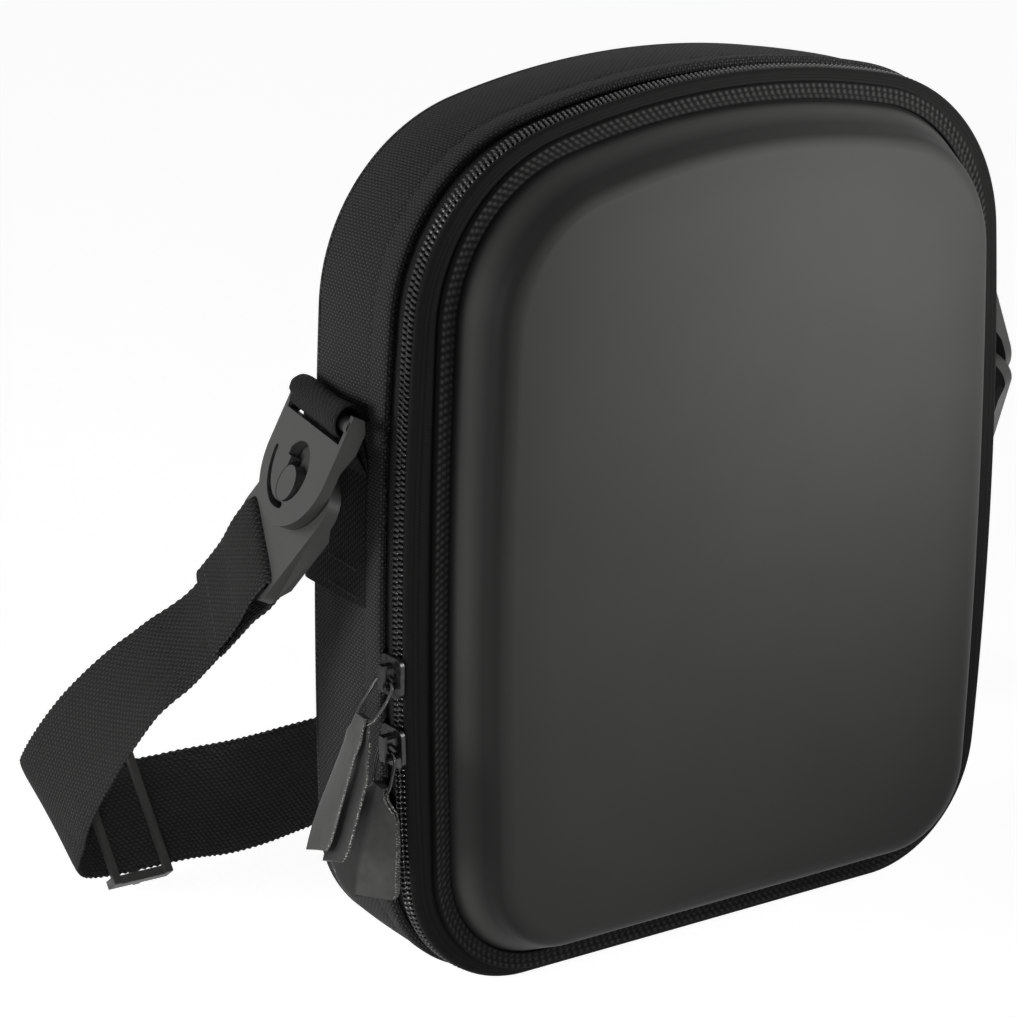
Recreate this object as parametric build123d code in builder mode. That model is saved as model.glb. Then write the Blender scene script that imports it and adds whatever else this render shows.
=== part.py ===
"""Zip-around binocular case: soft body, moulded lid, two zip pulls, two swivel clips and a strap.

The case stands on the middle of its base.  X runs across it, Y runs back (the lid faces -Y), Z is up.
Lengths are millimetres and angles are degrees.
"""
from math import cos, pi, radians, sin, sqrt, tan
import os

from build123d import *

os.makedirs("parts", exist_ok=True)

# ---- driving dimensions -------------------------------------------------------------------------
body_width = 192.0  # across the mouth at the ends of its bowed sides
body_height = 243.0  # base to the top of the crest
body_depth = 38.5  # mouth to back
side_bow = 6.0  # how far the mouth's sides bulge at mid height
top_corner = 54.0
bottom_corner = 38.0
crest_radius = 240.0
back_narrowing = 1.5  # the back is narrower than the mouth by this on each side
back_bow = 3.0
back_drop = 3.0  # the crest falls by this from the mouth to the back

layer_gap = 0.12  # between sewn layers
gusset_skin = 1.2  # fabric of the side wall
base_trim = 0.05  # shaved off so that the case stands on one flat face
hem_skin = 1.2
hem_depth = 9.0  # turned edge at the mouth
tape_skin = 0.8
tape_seam = 7.0  # how far the body's zip tape runs in behind the mouth
padding_skin = 2.6
padding_setback = 1.2  # of the padding's front edge behind the mouth
lining_skin = 0.7
back_skin = 2.4
back_edge_round = 1.6
board_skin = 1.6
back_padding_skin = 4.0

coil_width = 2.5  # one half of the chain
coil_height = 1.75
coil_inset = 0.75  # of the chain's face below the body's outline
chain_gap = 0.4  # between the two halves
chain_setback = 6.2  # of the chain's middle in front of the mouth
zip_end_half = 60.0  # the zip stops this far each side of the middle of the base
zip_end_length = 8.0

rim_bow = 3.0  # bow of the lid's rim, smaller than the mouth's
rim_inset = 5.25  # of the lid's rim from the body's outline
rim_setback = 10.85  # of the rim's seam in front of the mouth
band_inset = 1.0
band_skin = 1.8
band_roll = 1.3
flange_skin = 1.1
binding_width = 4.6
binding_height = 1.1
binding_lip = 0.9
crown_inset = 4.9  # foot of the moulded crown from the rim
crown_rise = 15.2
crown_draft = 24.0
crown_round = 6.5
panel_wall = 2.6

hinge_skin = 1.0
hinge_half = 50.0
hinge_height = 1.0
hinge_setback = 4.75  # of the lid's turning axis in front of the mouth

webbing_width = 29.0
webbing_skin = 1.5
webbing_low = 108.0
webbing_back = 0.9  # from the back edge of the body
clip_height = 160.3
clip_standoff = 6.0  # of the clip's bar from the body's side
clip_yaw = 12.7
clip_lean = 25.3
bar_radius = 2.1
bar_play = 0.3
loop_drop = 7.0  # of the stitching below the bar

plate_half = 20.4
plate_shift = 2.4  # of the plate's middle towards the lid
plate_skin = 3.0
plate_start = 5.3
plate_round_at = 15.5
plate_round = 17.5
cheek_skin = 1.9
cheek_depth = 3.2
ear_reach = 12.0  # of the deeper cheek beside the lid, below the bar
ear_depth = 3.5
stud_at = (1.5, 22.0)
stud_radius = 2.6
stud_head = 4.9
head_skin = 1.0
head_sunk = 0.1  # below the plate's face
stud_play = 0.08
arc_shift = (-0.9, -6.7)  # middle of the arc slot from the stud
arc_radius = 12.8
arc_slot = 1.9
arc_span = (76.0, 177.0)
eye_shift = (1.3, -3.7)  # middle of the large opening from the stud
eye_radius = 8.3
arm_edge = 3.3  # of the snap arm from the stud's middle
arm_notch = (2.1, 6.6)  # step in the arm, and how far above the stud it is
hook_turn = 27.0
hook_head = 12.6
hook_left = 17.2
hook_right = 20.9
hook_shift = 2.5  # of the strap towards the lid
shoulder_round = 7.0
rim_skin = 1.9
rim_depth = 2.0
hook_skin = 3.5
hook_gap = 0.4
hook_slot_at = 19.4
hook_slot = 3.4
hook_bar = 4.9
hook_swing = 25.0

strap_width = 32.0
strap_skin = 1.7
strap_play = 0.35
tail_length = 46.0  # stud to the end of the sewn tail

slider_length = 11.0
slider_width = 9.4
slider_skin = 1.2
slider_play = 0.45
slider_flange = 1.5
upper_slider_at = 94.0
lower_slider_at = 74.5
upper_travel = 50.0
lower_travel = 20.0
bridge_height = 3.2
bridge_skin = 1.0
bridge_length = 7.0
bridge_width = 2.4
wire_radius = 0.6
wire_half = 3.9
wire_length = 12.5
tab_length = 34.0
tab_neck = 5.4
tab_shoulder = 10.0
tab_low = 18.0
tab_skin = 3.0
tab_play = 0.09
upper_lean = 16.0
upper_tilt = 8.0
lower_lean = 6.0
lower_tilt = 13.0

adjuster_length = 19.0
adjuster_rail = 2.6
adjuster_bar = 2.4
adjuster_play = 0.6
adjuster_face = 1.8  # thickness of its cross bars

# ---- worked out from them -----------------------------------------------------------------------
mouth_y = -body_depth / 2
back_y = body_depth / 2
chain_y = mouth_y - chain_setback
rim_y = mouth_y - rim_setback
hinge_y = mouth_y - hinge_setback
body_half = body_width / 2
hem_inset = gusset_skin + layer_gap
tape_inset = hem_inset + hem_skin + layer_gap
padding_inset = tape_inset + tape_skin + layer_gap
lining_inset = padding_inset + padding_skin + layer_gap
panel_y = rim_y - layer_gap
board_y = back_y - back_skin - layer_gap
pad_y = board_y - board_skin - layer_gap
ring_back_y = pad_y - back_padding_skin - layer_gap


def plane_at(y):
    """Sketch plane facing the lid side at depth y, with X across and Z up."""
    return Plane.XZ.offset(-y)


def outline(half, bow, top, bottom, r_top, r_bottom, r_crest):
    """Flat base, bowed sides and an arched crest, with all four corners rounded."""
    shoulder = top - r_crest + sqrt(r_crest**2 - half**2)
    middle = (bottom + shoulder) / 2
    with BuildSketch() as shape:
        with BuildLine():
            Line((-half, bottom), (half, bottom))
            ThreePointArc((half, bottom), (half + bow, middle), (half, shoulder))
            ThreePointArc((half, shoulder), (0, top), (-half, shoulder))
            ThreePointArc((-half, shoulder), (-half - bow, middle), (-half, bottom))
        make_face()
        fillet(shape.vertices().group_by(Axis.Y)[0], radius=r_bottom)
        fillet(shape.vertices().group_by(Axis.Y)[-1], radius=r_top)
    return shape.sketch


def share_at(y):
    """How far y lies from the mouth towards the back, which sets the taper."""
    return max(0.0, (y - mouth_y) / body_depth)


def body_face(y, inset=0.0, below=0.0):
    """Section of the body at depth y; in front of the mouth it stays the mouth's."""
    share = share_at(y)
    return outline(
        half=body_half - back_narrowing * share - inset,
        bow=side_bow + (back_bow - side_bow) * share,
        top=body_height - back_drop * share - inset,
        bottom=inset - below,
        r_top=top_corner - inset,
        r_bottom=bottom_corner - inset,
        r_crest=crest_radius - inset,
    )


def rim_face(inset=0.0):
    """The lid's sewn rim, which bows less than the mouth."""
    return outline(
        half=body_half - rim_inset - inset,
        bow=rim_bow,
        top=body_height - rim_inset + 1.0 - inset,
        bottom=rim_inset - 2.0 + inset,
        r_top=top_corner - rim_inset - inset,
        r_bottom=bottom_corner - rim_inset + 2.0 - inset,
        r_crest=crest_radius - rim_inset - inset,
    )


def side_x(y, z):
    """Half width of the body at depth y and height z, on its bowed side."""
    share = share_at(y)
    half = body_half - back_narrowing * share
    bow = side_bow + (back_bow - side_bow) * share
    shoulder = body_height - back_drop * share - crest_radius + sqrt(crest_radius**2 - half**2)
    arc = (shoulder**2 / 4 + bow**2) / (2 * bow)
    return half + bow - arc + sqrt(arc**2 - (z - shoulder / 2) ** 2)


def body_core(y_front, y_rear, inset, below=0.0):
    """Solid that fills the body's section between two depths, inset all round."""
    depths = [y_front, y_rear]
    if y_front < mouth_y < y_rear:
        depths.insert(1, mouth_y)
    with BuildPart() as core:
        for y in depths:
            with BuildSketch(plane_at(y)):
                add(body_face(y, inset, below))
        loft(ruled=True)
    return core.part


def body_ring(y_front, y_rear, inset, skin):
    """Wall that follows the body's outline between two depths."""
    with BuildPart() as ring:
        add(body_core(y_front, y_rear, inset))
        add(body_core(y_front, y_rear, inset + skin), mode=Mode.SUBTRACT)
    return ring.part


def rim_ring(y_front, y_rear, inset, skin):
    """Flat ring on the lid's rim between two depths."""
    with BuildPart() as ring:
        with BuildSketch(plane_at(y_rear)):
            add(rim_face(inset))
            add(rim_face(inset + skin), mode=Mode.SUBTRACT)
        extrude(amount=y_rear - y_front)
    return ring.part


def stacked(stations):
    """Solid ruled through faces at successive depths."""
    with BuildPart() as stack:
        for y, face in stations:
            with BuildSketch(plane_at(y)):
                add(face)
        loft(ruled=True)
    return stack.part


def crown_core(y_foot, rise, inset, rounding, steps):
    """Drafted block of the moulded crown, whose front edge is rounded in a few steps."""
    draft = radians(crown_draft)
    middle = inset + tan(draft) * (rise - rounding * (1 - sin(draft))) + rounding * cos(draft)
    stations = [(y_foot, rim_face(inset))]
    for i in range(steps + 1):
        turn = draft + (pi / 2 - draft) * i / steps
        depth = rise - rounding * (1 - sin(turn))
        stations.append((y_foot - depth, rim_face(middle - rounding * cos(turn))))
    return stacked(stations)


def hinge_gap(half):
    """Block that opens a zip ring at the base, where the hinge strip runs."""
    return Pos(0, chain_y, 0) * Box(2 * half, 40, 30, mode=Mode.PRIVATE)


# ---- body ---------------------------------------------------------------------------------------
with BuildPart() as gusset:
    add(body_core(mouth_y, back_y - back_skin - layer_gap, 0.0, base_trim))
    add(body_core(mouth_y, back_y - back_skin - layer_gap, gusset_skin), mode=Mode.SUBTRACT)
    with BuildSketch():
        Rectangle(2 * body_width, 2 * body_depth)
    extrude(amount=-2 * base_trim, mode=Mode.SUBTRACT)
gusset.part.label = "gusset"

back_stations = [(back_y - back_skin, body_face(back_y - back_skin))]
for i in range(4):
    turn = pi / 2 * i / 3
    depth = back_y - back_edge_round * (1 - sin(turn))
    back_stations.append((depth, body_face(depth, back_edge_round * (1 - cos(turn)))))
with BuildPart() as back_panel:
    add(stacked(back_stations))
back_panel.part.label = "back_panel"

with BuildPart() as mouth_hem:
    add(body_ring(mouth_y, mouth_y + hem_depth, hem_inset, hem_skin))
mouth_hem.part.label = "mouth_hem"

with BuildPart() as body_zip_tape:
    add(body_ring(chain_y + 0.1, mouth_y + tape_seam, tape_inset, tape_skin))
    add(hinge_gap(zip_end_half), mode=Mode.SUBTRACT)
body_zip_tape.part.label = "body_zip_tape"

with BuildPart() as body_zip_coil:
    add(body_ring(chain_y + chain_gap / 2, chain_y + chain_gap / 2 + coil_width, coil_inset, coil_height))
    add(hinge_gap(zip_end_half), mode=Mode.SUBTRACT)
body_zip_coil.part.label = "body_zip_coil"

with BuildPart() as zip_end_tabs:
    for side in (-1, 1):
        with Locations(
            (
                side * (zip_end_half - layer_gap - zip_end_length / 2),
                chain_y + chain_gap / 2 + coil_width / 2 + 0.8,
                coil_inset + coil_height / 2 + 0.2,
            )
        ):
            Box(zip_end_length, coil_width + 1.6, coil_height)
zip_end_tabs.part.label = "zip_end_tabs"

with BuildPart() as hinge_strip:
    with Locations((0, hinge_y - 1.2, tape_inset)):
        Box(
            2 * hinge_half,
            1.2 + hinge_setback + tape_seam,
            hinge_skin,
            align=(Align.CENTER, Align.MIN, Align.MIN),
        )
hinge_strip.part.label = "hinge_strip"

with BuildPart() as gusset_padding:
    add(body_ring(mouth_y + padding_setback, ring_back_y, padding_inset + 0.2, padding_skin - 0.2))
    add(body_ring(mouth_y + hem_depth + layer_gap, ring_back_y, hem_inset, padding_skin + 1.0))
gusset_padding.part.label = "gusset_padding"

with BuildPart() as body_lining:
    add(body_core(mouth_y + padding_setback, ring_back_y, lining_inset))
    add(
        body_core(mouth_y + padding_setback - 1, ring_back_y - lining_skin, lining_inset + lining_skin),
        mode=Mode.SUBTRACT,
    )
body_lining.part.label = "body_lining"

with BuildPart() as back_padding:
    add(body_core(ring_back_y + layer_gap, pad_y, hem_inset))
back_padding.part.label = "back_padding"

with BuildPart() as back_board:
    add(body_core(pad_y + layer_gap, board_y, hem_inset))
back_board.part.label = "back_board"

# ---- lid ----------------------------------------------------------------------------------------
with BuildPart() as lid_zip_coil:
    add(body_ring(chain_y - chain_gap / 2 - coil_width, chain_y - chain_gap / 2, coil_inset, coil_height))
    add(hinge_gap(zip_end_half), mode=Mode.SUBTRACT)
lid_zip_coil.part.label = "lid_zip_coil"

with BuildPart() as lid_zip_tape:
    add(body_ring(rim_y + band_skin + layer_gap, chain_y - 0.1, tape_inset, tape_skin))
    add(hinge_gap(zip_end_half), mode=Mode.SUBTRACT)
lid_zip_tape.part.label = "lid_zip_tape"

band_stations = [(rim_y + band_skin, body_face(mouth_y, band_inset))]
for i in range(4):
    turn = pi / 2 * i / 3
    depth = rim_y + band_roll * (1 - sin(turn))
    band_stations.append((depth, body_face(mouth_y, band_inset + band_roll * (1 - cos(turn)))))
with BuildPart() as lid_band:
    add(stacked(band_stations))
    with BuildSketch(plane_at(rim_y + band_skin)):
        add(rim_face(2.0))
    extrude(amount=band_skin, mode=Mode.SUBTRACT)
    add(body_ring(rim_y + band_skin - 0.01, chain_y - 0.1, padding_inset, hem_skin))
lid_band.part.label = "lid_band"

cavity_foot = crown_inset + panel_wall - 0.4
cavity_rise = crown_rise + flange_skin - panel_wall
with BuildPart() as lid_panel:
    with BuildSketch(plane_at(panel_y)):
        add(rim_face(binding_lip + layer_gap))
    extrude(amount=flange_skin)
    add(crown_core(panel_y - flange_skin + 0.01, crown_rise, crown_inset, crown_round, 5))
    add(crown_core(panel_y + 0.01, cavity_rise, cavity_foot, 4.6, 3), mode=Mode.SUBTRACT)
lid_panel.part.label = "lid_panel"

with BuildPart() as lid_binding:
    add(rim_ring(panel_y - flange_skin - layer_gap - binding_height, panel_y - flange_skin - layer_gap, 0.0, binding_width))
    add(rim_ring(panel_y - flange_skin - layer_gap - 0.01, panel_y, 0.0, binding_lip))
lid_binding.part.label = "lid_binding"

lining_rise = cavity_rise - layer_gap
with BuildPart() as lid_lining:
    add(crown_core(panel_y, lining_rise, cavity_foot + 0.15, 4.6, 3))
    add(
        crown_core(panel_y + 0.01, lining_rise - lining_skin, cavity_foot + 0.15 + lining_skin, 4.0, 2),
        mode=Mode.SUBTRACT,
    )
lid_lining.part.label = "lid_lining"

# ---- side webbing -------------------------------------------------------------------------------
bar_y = mouth_y + 23.25
bar_origin = Vector(-side_x(bar_y, clip_height) - clip_standoff, bar_y, clip_height)
along = Vector(-sin(radians(clip_yaw)), -cos(radians(clip_yaw)), 0)
outward = Vector(-cos(radians(clip_yaw)), sin(radians(clip_yaw)), 0)
down = outward * sin(radians(clip_lean)) + Vector(0, 0, -cos(radians(clip_lean)))
clip_plane = Plane(origin=bar_origin, x_dir=along, z_dir=along.cross(down))

web_back = back_y - webbing_back
web_front = web_back - webbing_width
roll = bar_radius + bar_play + webbing_skin
with BuildPart() as side_webbing_left:
    add(body_ring(web_front, web_back, -layer_gap - webbing_skin, webbing_skin))
    with Locations((-body_half, (web_front + web_back) / 2, webbing_low)):
        Box(
            80,
            2 * webbing_width,
            clip_height - webbing_low,
            align=(Align.CENTER, Align.CENTER, Align.MIN),
            mode=Mode.INTERSECT,
        )
    for depth in (web_front, web_back):
        reach = (depth - bar_y) / along.Y
        bar_x = bar_origin.X + reach * along.X
        low_x = -side_x(depth, clip_height - loop_drop)
        with BuildSketch(plane_at(depth)):
            with BuildLine():
                Polyline(
                    (low_x - layer_gap - 0.4, clip_height - loop_drop),
                    (low_x - layer_gap - 2 * webbing_skin, clip_height - loop_drop),
                    (bar_x - 0.69 * roll, clip_height - 0.69 * roll),
                    (bar_x, clip_height),
                    (-side_x(depth, clip_height) - layer_gap - 0.4, clip_height),
                    close=True,
                )
            make_face()
    loft(ruled=True)
    with BuildSketch(Plane(origin=bar_origin - along * 40, x_dir=(0, 0, 1), z_dir=along)):
        Circle(roll)
    extrude(amount=80)
    with Locations((bar_origin.X, (web_front + web_back) / 2, clip_height)):
        Box(120, webbing_width, 160, mode=Mode.INTERSECT)
    with BuildSketch(Plane(origin=bar_origin - along * 40, x_dir=(0, 0, 1), z_dir=along)):
        Circle(bar_radius + bar_play)
    extrude(amount=80, mode=Mode.SUBTRACT)
side_webbing_left.part.label = "side_webbing_left"

# ---- clip ---------------------------------------------------------------------------------------
def eye():
    """Large opening beside the snap arm: a round hole less the arm and the disc at its end."""
    with BuildSketch(mode=Mode.PRIVATE) as hole:
        with Locations((stud_at[0] + eye_shift[0], stud_at[1] + eye_shift[1])):
            Circle(eye_radius)
        with Locations(stud_at):
            Circle(stud_head, mode=Mode.SUBTRACT)
        with Locations((stud_at[0] - arm_edge, stud_at[1] - arm_notch[1])):
            Rectangle(20, 40, align=(Align.MAX, Align.MIN), mode=Mode.SUBTRACT)
        with Locations((stud_at[0] - arm_edge - arm_notch[0], stud_at[1])):
            Rectangle(20, 80, align=(Align.MAX, Align.CENTER), mode=Mode.SUBTRACT)
    return hole.sketch


def crescent():
    """Curved slot that frees the snap arm: a sector of a ring with round ends."""
    middle = (stud_at[0] + arc_shift[0], stud_at[1] + arc_shift[1])
    ends = [(arc_radius * cos(radians(t)), arc_radius * sin(radians(t))) for t in arc_span]
    with BuildSketch(mode=Mode.PRIVATE) as slot:
        with Locations(middle):
            Circle(arc_radius + arc_slot / 2)
            Circle(arc_radius - arc_slot / 2, mode=Mode.SUBTRACT)
        with BuildLine(Plane(origin=(*middle, 0))):
            Polyline(
                (0, 0),
                (2 * ends[0][0], 2 * ends[0][1]),
                (2 * (ends[0][0] + ends[1][0]), 2 * (ends[0][1] + ends[1][1])),
                (2 * ends[1][0], 2 * ends[1][1]),
                close=True,
            )
        make_face(mode=Mode.INTERSECT)
        with Locations([(middle[0] + x, middle[1] + y) for x, y in ends]):
            Circle(arc_slot / 2)
    return slot.sketch


with BuildPart() as clip_plate_left:
    with BuildSketch(clip_plane.offset(-plate_skin / 2)):
        with Locations((plate_shift, (plate_start + plate_round_at) / 2)):
            Rectangle(2 * plate_half, plate_round_at - plate_start)
        with Locations((plate_shift, plate_round_at)):
            Ellipse(plate_half, plate_round)
        with Locations((plate_shift, 0)):
            Rectangle(4 * plate_half, 2 * plate_start, mode=Mode.SUBTRACT)
        add(crescent(), mode=Mode.SUBTRACT)
        add(eye(), mode=Mode.SUBTRACT)
        with Locations(stud_at):
            Circle(stud_radius + stud_play, mode=Mode.SUBTRACT)
    extrude(amount=plate_skin)
    with BuildSketch(clip_plane.offset(-plate_skin / 2)):
        with Locations(stud_at):
            Circle(stud_head + stud_play)
    extrude(amount=head_sunk + head_skin + stud_play, mode=Mode.SUBTRACT)
    for edge, reach, deep in (
        (plate_shift - plate_half, plate_start + 3.0, cheek_depth),
        (plate_shift + plate_half - cheek_skin, ear_reach, ear_depth),
    ):
        with BuildSketch(Plane(clip_plane.from_local_coords((edge, 0, 0)), x_dir=down, z_dir=along)):
            with BuildLine():
                Polyline(
                    (-bar_radius - 0.9, -plate_skin / 2),
                    (-bar_radius - 0.9, deep - 1.5),
                    (0, deep),
                    (max(reach - 6, 0.5), deep),
                    (reach, plate_skin / 2),
                    (reach, -plate_skin / 2),
                    close=True,
                )
            make_face()
        extrude(amount=cheek_skin)
    bar_end = clip_plane.from_local_coords((plate_shift - plate_half + 0.5, 0, 0))
    with BuildSketch(Plane(bar_end, x_dir=down, z_dir=along)):
        Circle(bar_radius)
    extrude(amount=2 * plate_half - 1)
clip_plate_left.part.label = "clip_plate_left"

swing = radians(hook_turn)
inward = clip_plane.z_dir
across = along * cos(swing) + down * sin(swing)
leading = down * cos(swing) - along * sin(swing)
stud_origin = clip_plane.from_local_coords((stud_at[0], stud_at[1], 0))
hook_plane = Plane(origin=stud_origin, x_dir=across, z_dir=inward)
hook_face = plate_skin / 2 + hook_gap
slot_low = hook_slot_at + hook_slot / 2

with BuildPart() as hook_plate_left:
    with BuildSketch(hook_plane.offset(hook_face)):
        Circle(hook_head)
        with Locations(((hook_right - hook_left) / 2, (slot_low + hook_bar + 4.0) / 2)):
            RectangleRounded(hook_left + hook_right, slot_low + hook_bar - 4.0, 5.0)
        with BuildLine():
            Line((0, -hook_head), (hook_right - shoulder_round, -hook_head))
            RadiusArc(
                (hook_right - shoulder_round, -hook_head),
                (hook_right, shoulder_round - hook_head),
                -shoulder_round,
            )
            Polyline(
                (hook_right, shoulder_round - hook_head),
                (hook_right, hook_slot_at),
                (0, hook_slot_at),
                (0, -hook_head),
            )
        make_face()
        with Locations((hook_shift, hook_slot_at)):
            Rectangle(strap_width + 2 * strap_play, hook_slot, mode=Mode.SUBTRACT)
    extrude(amount=hook_skin)
    with BuildSketch(hook_plane.offset(hook_face + hook_skin)):
        with Locations((hook_right, shoulder_round - hook_head)):
            Rectangle(rim_skin, slot_low + hook_head - shoulder_round, align=(Align.MAX, Align.MIN))
    extrude(amount=rim_depth)
    head_at = head_sunk - plate_skin / 2
    with BuildSketch(hook_plane.offset(head_at)):
        Circle(stud_head)
    extrude(amount=head_skin)
    with BuildSketch(hook_plane.offset(head_at + head_skin)):
        Circle(stud_radius)
    extrude(amount=hook_face - head_at - head_skin + 0.5)
hook_plate_left.part.label = "hook_plate_left"

# ---- sewn tail of the strap, round the hook's bar ------------------------------------------------
tail_mid = hook_face + hook_skin / 2
tail_half = hook_skin / 2 + strap_play + strap_skin
fold_at = hook_slot_at + 0.2
with BuildPart() as strap_end_left:
    side_plane = Plane(
        hook_plane.from_local_coords((hook_shift - strap_width / 2, 0, tail_mid)),
        x_dir=leading,
        z_dir=across,
    )
    with BuildSketch(side_plane):
        with BuildLine():
            Polyline(
                (fold_at - strap_skin / 2, -tail_half),
                (slot_low + hook_bar + 0.8, -tail_half),
                (slot_low + hook_bar + 6.0, -strap_skin - 0.05),
                (tail_length, -strap_skin - 0.05),
                (tail_length, strap_skin + 0.05),
                (slot_low + hook_bar + 6.0, strap_skin + 0.05),
                (slot_low + hook_bar + 0.8, tail_half),
                (fold_at - strap_skin / 2, tail_half),
                close=True,
            )
        make_face()
        with BuildLine():
            Polyline(
                (fold_at + strap_skin / 2, -tail_half + strap_skin),
                (slot_low + hook_bar + 0.6, -tail_half + strap_skin),
                (slot_low + hook_bar + 2.4, 0),
                (slot_low + hook_bar + 0.6, tail_half - strap_skin),
                (fold_at + strap_skin / 2, tail_half - strap_skin),
                close=True,
            )
        make_face(mode=Mode.SUBTRACT)
    extrude(amount=strap_width)
strap_end_left.part.label = "strap_end_left"

# ---- the same on the other side ------------------------------------------------------------------
mirrored = {}
for name, piece in (
    ("side_webbing_right", side_webbing_left),
    ("clip_plate_right", clip_plate_left),
    ("hook_plate_right", hook_plate_left),
    ("strap_end_right", strap_end_left),
):
    with BuildPart() as other:
        add(mirror(piece.part, about=Plane.YZ))
    other.part.label = name
    mirrored[name] = other.part

# ---- zip sliders and pulls -----------------------------------------------------------------------


def slider_frame(at, to):
    """Plane on the chain's face at height at: x runs up the side towards to, y back, z out."""
    ends = [
        Vector(-side_x(mouth_y, height) + coil_inset, chain_y, height) for height in sorted((at, to))
    ]
    up = (ends[1] - ends[0]).normalized()
    return Plane(ends[0] if at < to else ends[1], x_dir=up, z_dir=up.cross(Vector(0, 1, 0)))


def slider_body(frame):
    """Plate over the chain with one flange behind it and a bridge for the pull."""
    near = chain_gap / 2 + coil_width + 0.35
    with BuildPart() as body:
        with BuildSketch(frame.offset(slider_play)):
            RectangleRounded(slider_length, slider_width, 2.2)
        extrude(amount=slider_skin)
        with BuildSketch(frame.offset(-0.7 * coil_height)):
            with Locations((0, (near + slider_width / 2) / 2)):
                Rectangle(0.7 * slider_length, slider_width / 2 - near)
        extrude(amount=0.7 * coil_height + slider_play + 0.2)
        with BuildSketch(frame.offset(slider_play + slider_skin)):
            Rectangle(bridge_length, bridge_width)
        extrude(amount=bridge_height)
        with BuildSketch(frame.offset(slider_play + slider_skin)):
            Rectangle(bridge_length - 2 * bridge_skin, 2 * bridge_width)
        extrude(amount=bridge_height - bridge_skin, mode=Mode.SUBTRACT)
    return body.part


def pull_frame(frame, lean, tilt):
    """Plane of a hanging pull: x runs down it from its axis, y is the axis, z faces out."""
    up, back, out = frame.x_dir, frame.y_dir, frame.z_dir
    axis = back * cos(radians(tilt)) + up * sin(radians(tilt))
    hang = back * sin(radians(tilt)) - up * cos(radians(tilt))
    run = hang * cos(radians(lean)) + out * sin(radians(lean))
    pivot = frame.from_local_coords((-0.8, 0, slider_play + slider_skin + (bridge_height - bridge_skin) / 2))
    return Plane(pivot, x_dir=run, z_dir=axis.cross(run))


def pull_wire(frame):
    """Bent wire whose ends meet inside the bridge."""
    with BuildPart() as wire:
        with BuildLine(frame):
            path = Polyline(
                (0, 0.05),
                (0, wire_half),
                (wire_length, wire_half),
                (wire_length, -wire_half),
                (0, -wire_half),
                (0, -0.05),
            )
        with BuildSketch(Plane(path @ 0, z_dir=path % 0)):
            Circle(wire_radius)
        sweep(transition=Transition.RIGHT)
    return wire.part


def pull_tab(frame):
    """Two layers of leather folded round the wire's lower bar."""
    with BuildPart() as tab:
        with BuildSketch(frame.offset(-tab_skin / 2)):
            with BuildLine():
                Polyline(
                    (wire_length - 2.2, -tab_neck / 2),
                    (wire_length + 1.5, -tab_neck / 2),
                    (wire_length + 2.2, -tab_shoulder / 2),
                    (wire_length + tab_length, -tab_low / 2),
                    (wire_length + tab_length, tab_low / 2),
                    (wire_length + 2.2, tab_shoulder / 2),
                    (wire_length + 1.5, tab_neck / 2),
                    (wire_length - 2.2, tab_neck / 2),
                    close=True,
                )
            make_face()
        extrude(amount=tab_skin)
        with BuildSketch(Plane(frame.from_local_coords((wire_length, -10, 0)), z_dir=frame.y_dir)):
            Circle(wire_radius + tab_play)
        extrude(amount=20, mode=Mode.SUBTRACT)
    return tab.part


upper_frame = slider_frame(upper_slider_at, upper_slider_at + upper_travel)
lower_frame = slider_frame(lower_slider_at, lower_slider_at - lower_travel)
upper_pull = pull_frame(upper_frame, upper_lean, upper_tilt)
lower_pull = pull_frame(lower_frame, lower_lean, lower_tilt)

with BuildPart() as slider_upper:
    add(slider_body(upper_frame))
slider_upper.part.label = "slider_upper"

with BuildPart() as slider_lower:
    add(slider_body(lower_frame))
slider_lower.part.label = "slider_lower"

with BuildPart() as pull_wire_upper:
    add(pull_wire(upper_pull))
pull_wire_upper.part.label = "pull_wire_upper"

with BuildPart() as pull_wire_lower:
    add(pull_wire(lower_pull))
pull_wire_lower.part.label = "pull_wire_lower"

with BuildPart() as pull_tab_upper:
    add(pull_tab(upper_pull))
pull_tab_upper.part.label = "pull_tab_upper"

with BuildPart() as pull_tab_lower:
    add(pull_tab(lower_pull))
pull_tab_lower.part.label = "pull_tab_lower"

# ---- strap ---------------------------------------------------------------------------------------


def on_floor(x, y, lean, wide_half=strap_width / 2, deep_half=strap_skin / 2):
    """Route point whose lower edge lies on the ground, with its width leaning back by lean."""
    wide = Vector(0, sin(radians(lean)), cos(radians(lean)))
    height = wide_half * wide.Z + deep_half * wide.Y + 0.15
    return (x, y, height), wide


tail_end = hook_plane.from_local_coords((hook_shift, tail_length + 0.1, tail_mid))
drop = bar_origin.Z - 160.3
leg = [
    (tuple(tail_end), -across),
    (tuple(tail_end + leading * 9.0), -across),
    ((-139.0, 39.0, 82.5 + drop), Vector(0.30, 0.84, 0.45)),
    ((-148.5, 55.5, 59.0), Vector(0.02, 0.80, 0.60)),
    ((-148.5, 75.0, 34.0), Vector(-0.18, 0.78, 0.60)),
]
rail_half = strap_width / 2 + adjuster_play + adjuster_rail
rail_depth = strap_skin + 2 * adjuster_play
seat = (rail_half, rail_depth / 2 + adjuster_face)
floor_left = [
    on_floor(-134.0, 93.0, 38.0, *seat),
    on_floor(-97.0, 92.0, 38.0, *seat),
    on_floor(-76.0, 91.0, 18.0),
    on_floor(-50.0, 94.0, 7.0),
    on_floor(-18.0, 97.0, 0.0),
]
floor_right = [
    on_floor(-134.0, 93.0, 42.0),
    on_floor(-97.0, 92.0, 36.0),
    on_floor(-76.0, 91.0, 18.0),
    on_floor(-50.0, 94.0, 7.0),
    on_floor(-18.0, 97.0, 0.0),
]
route = leg + floor_left
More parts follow.
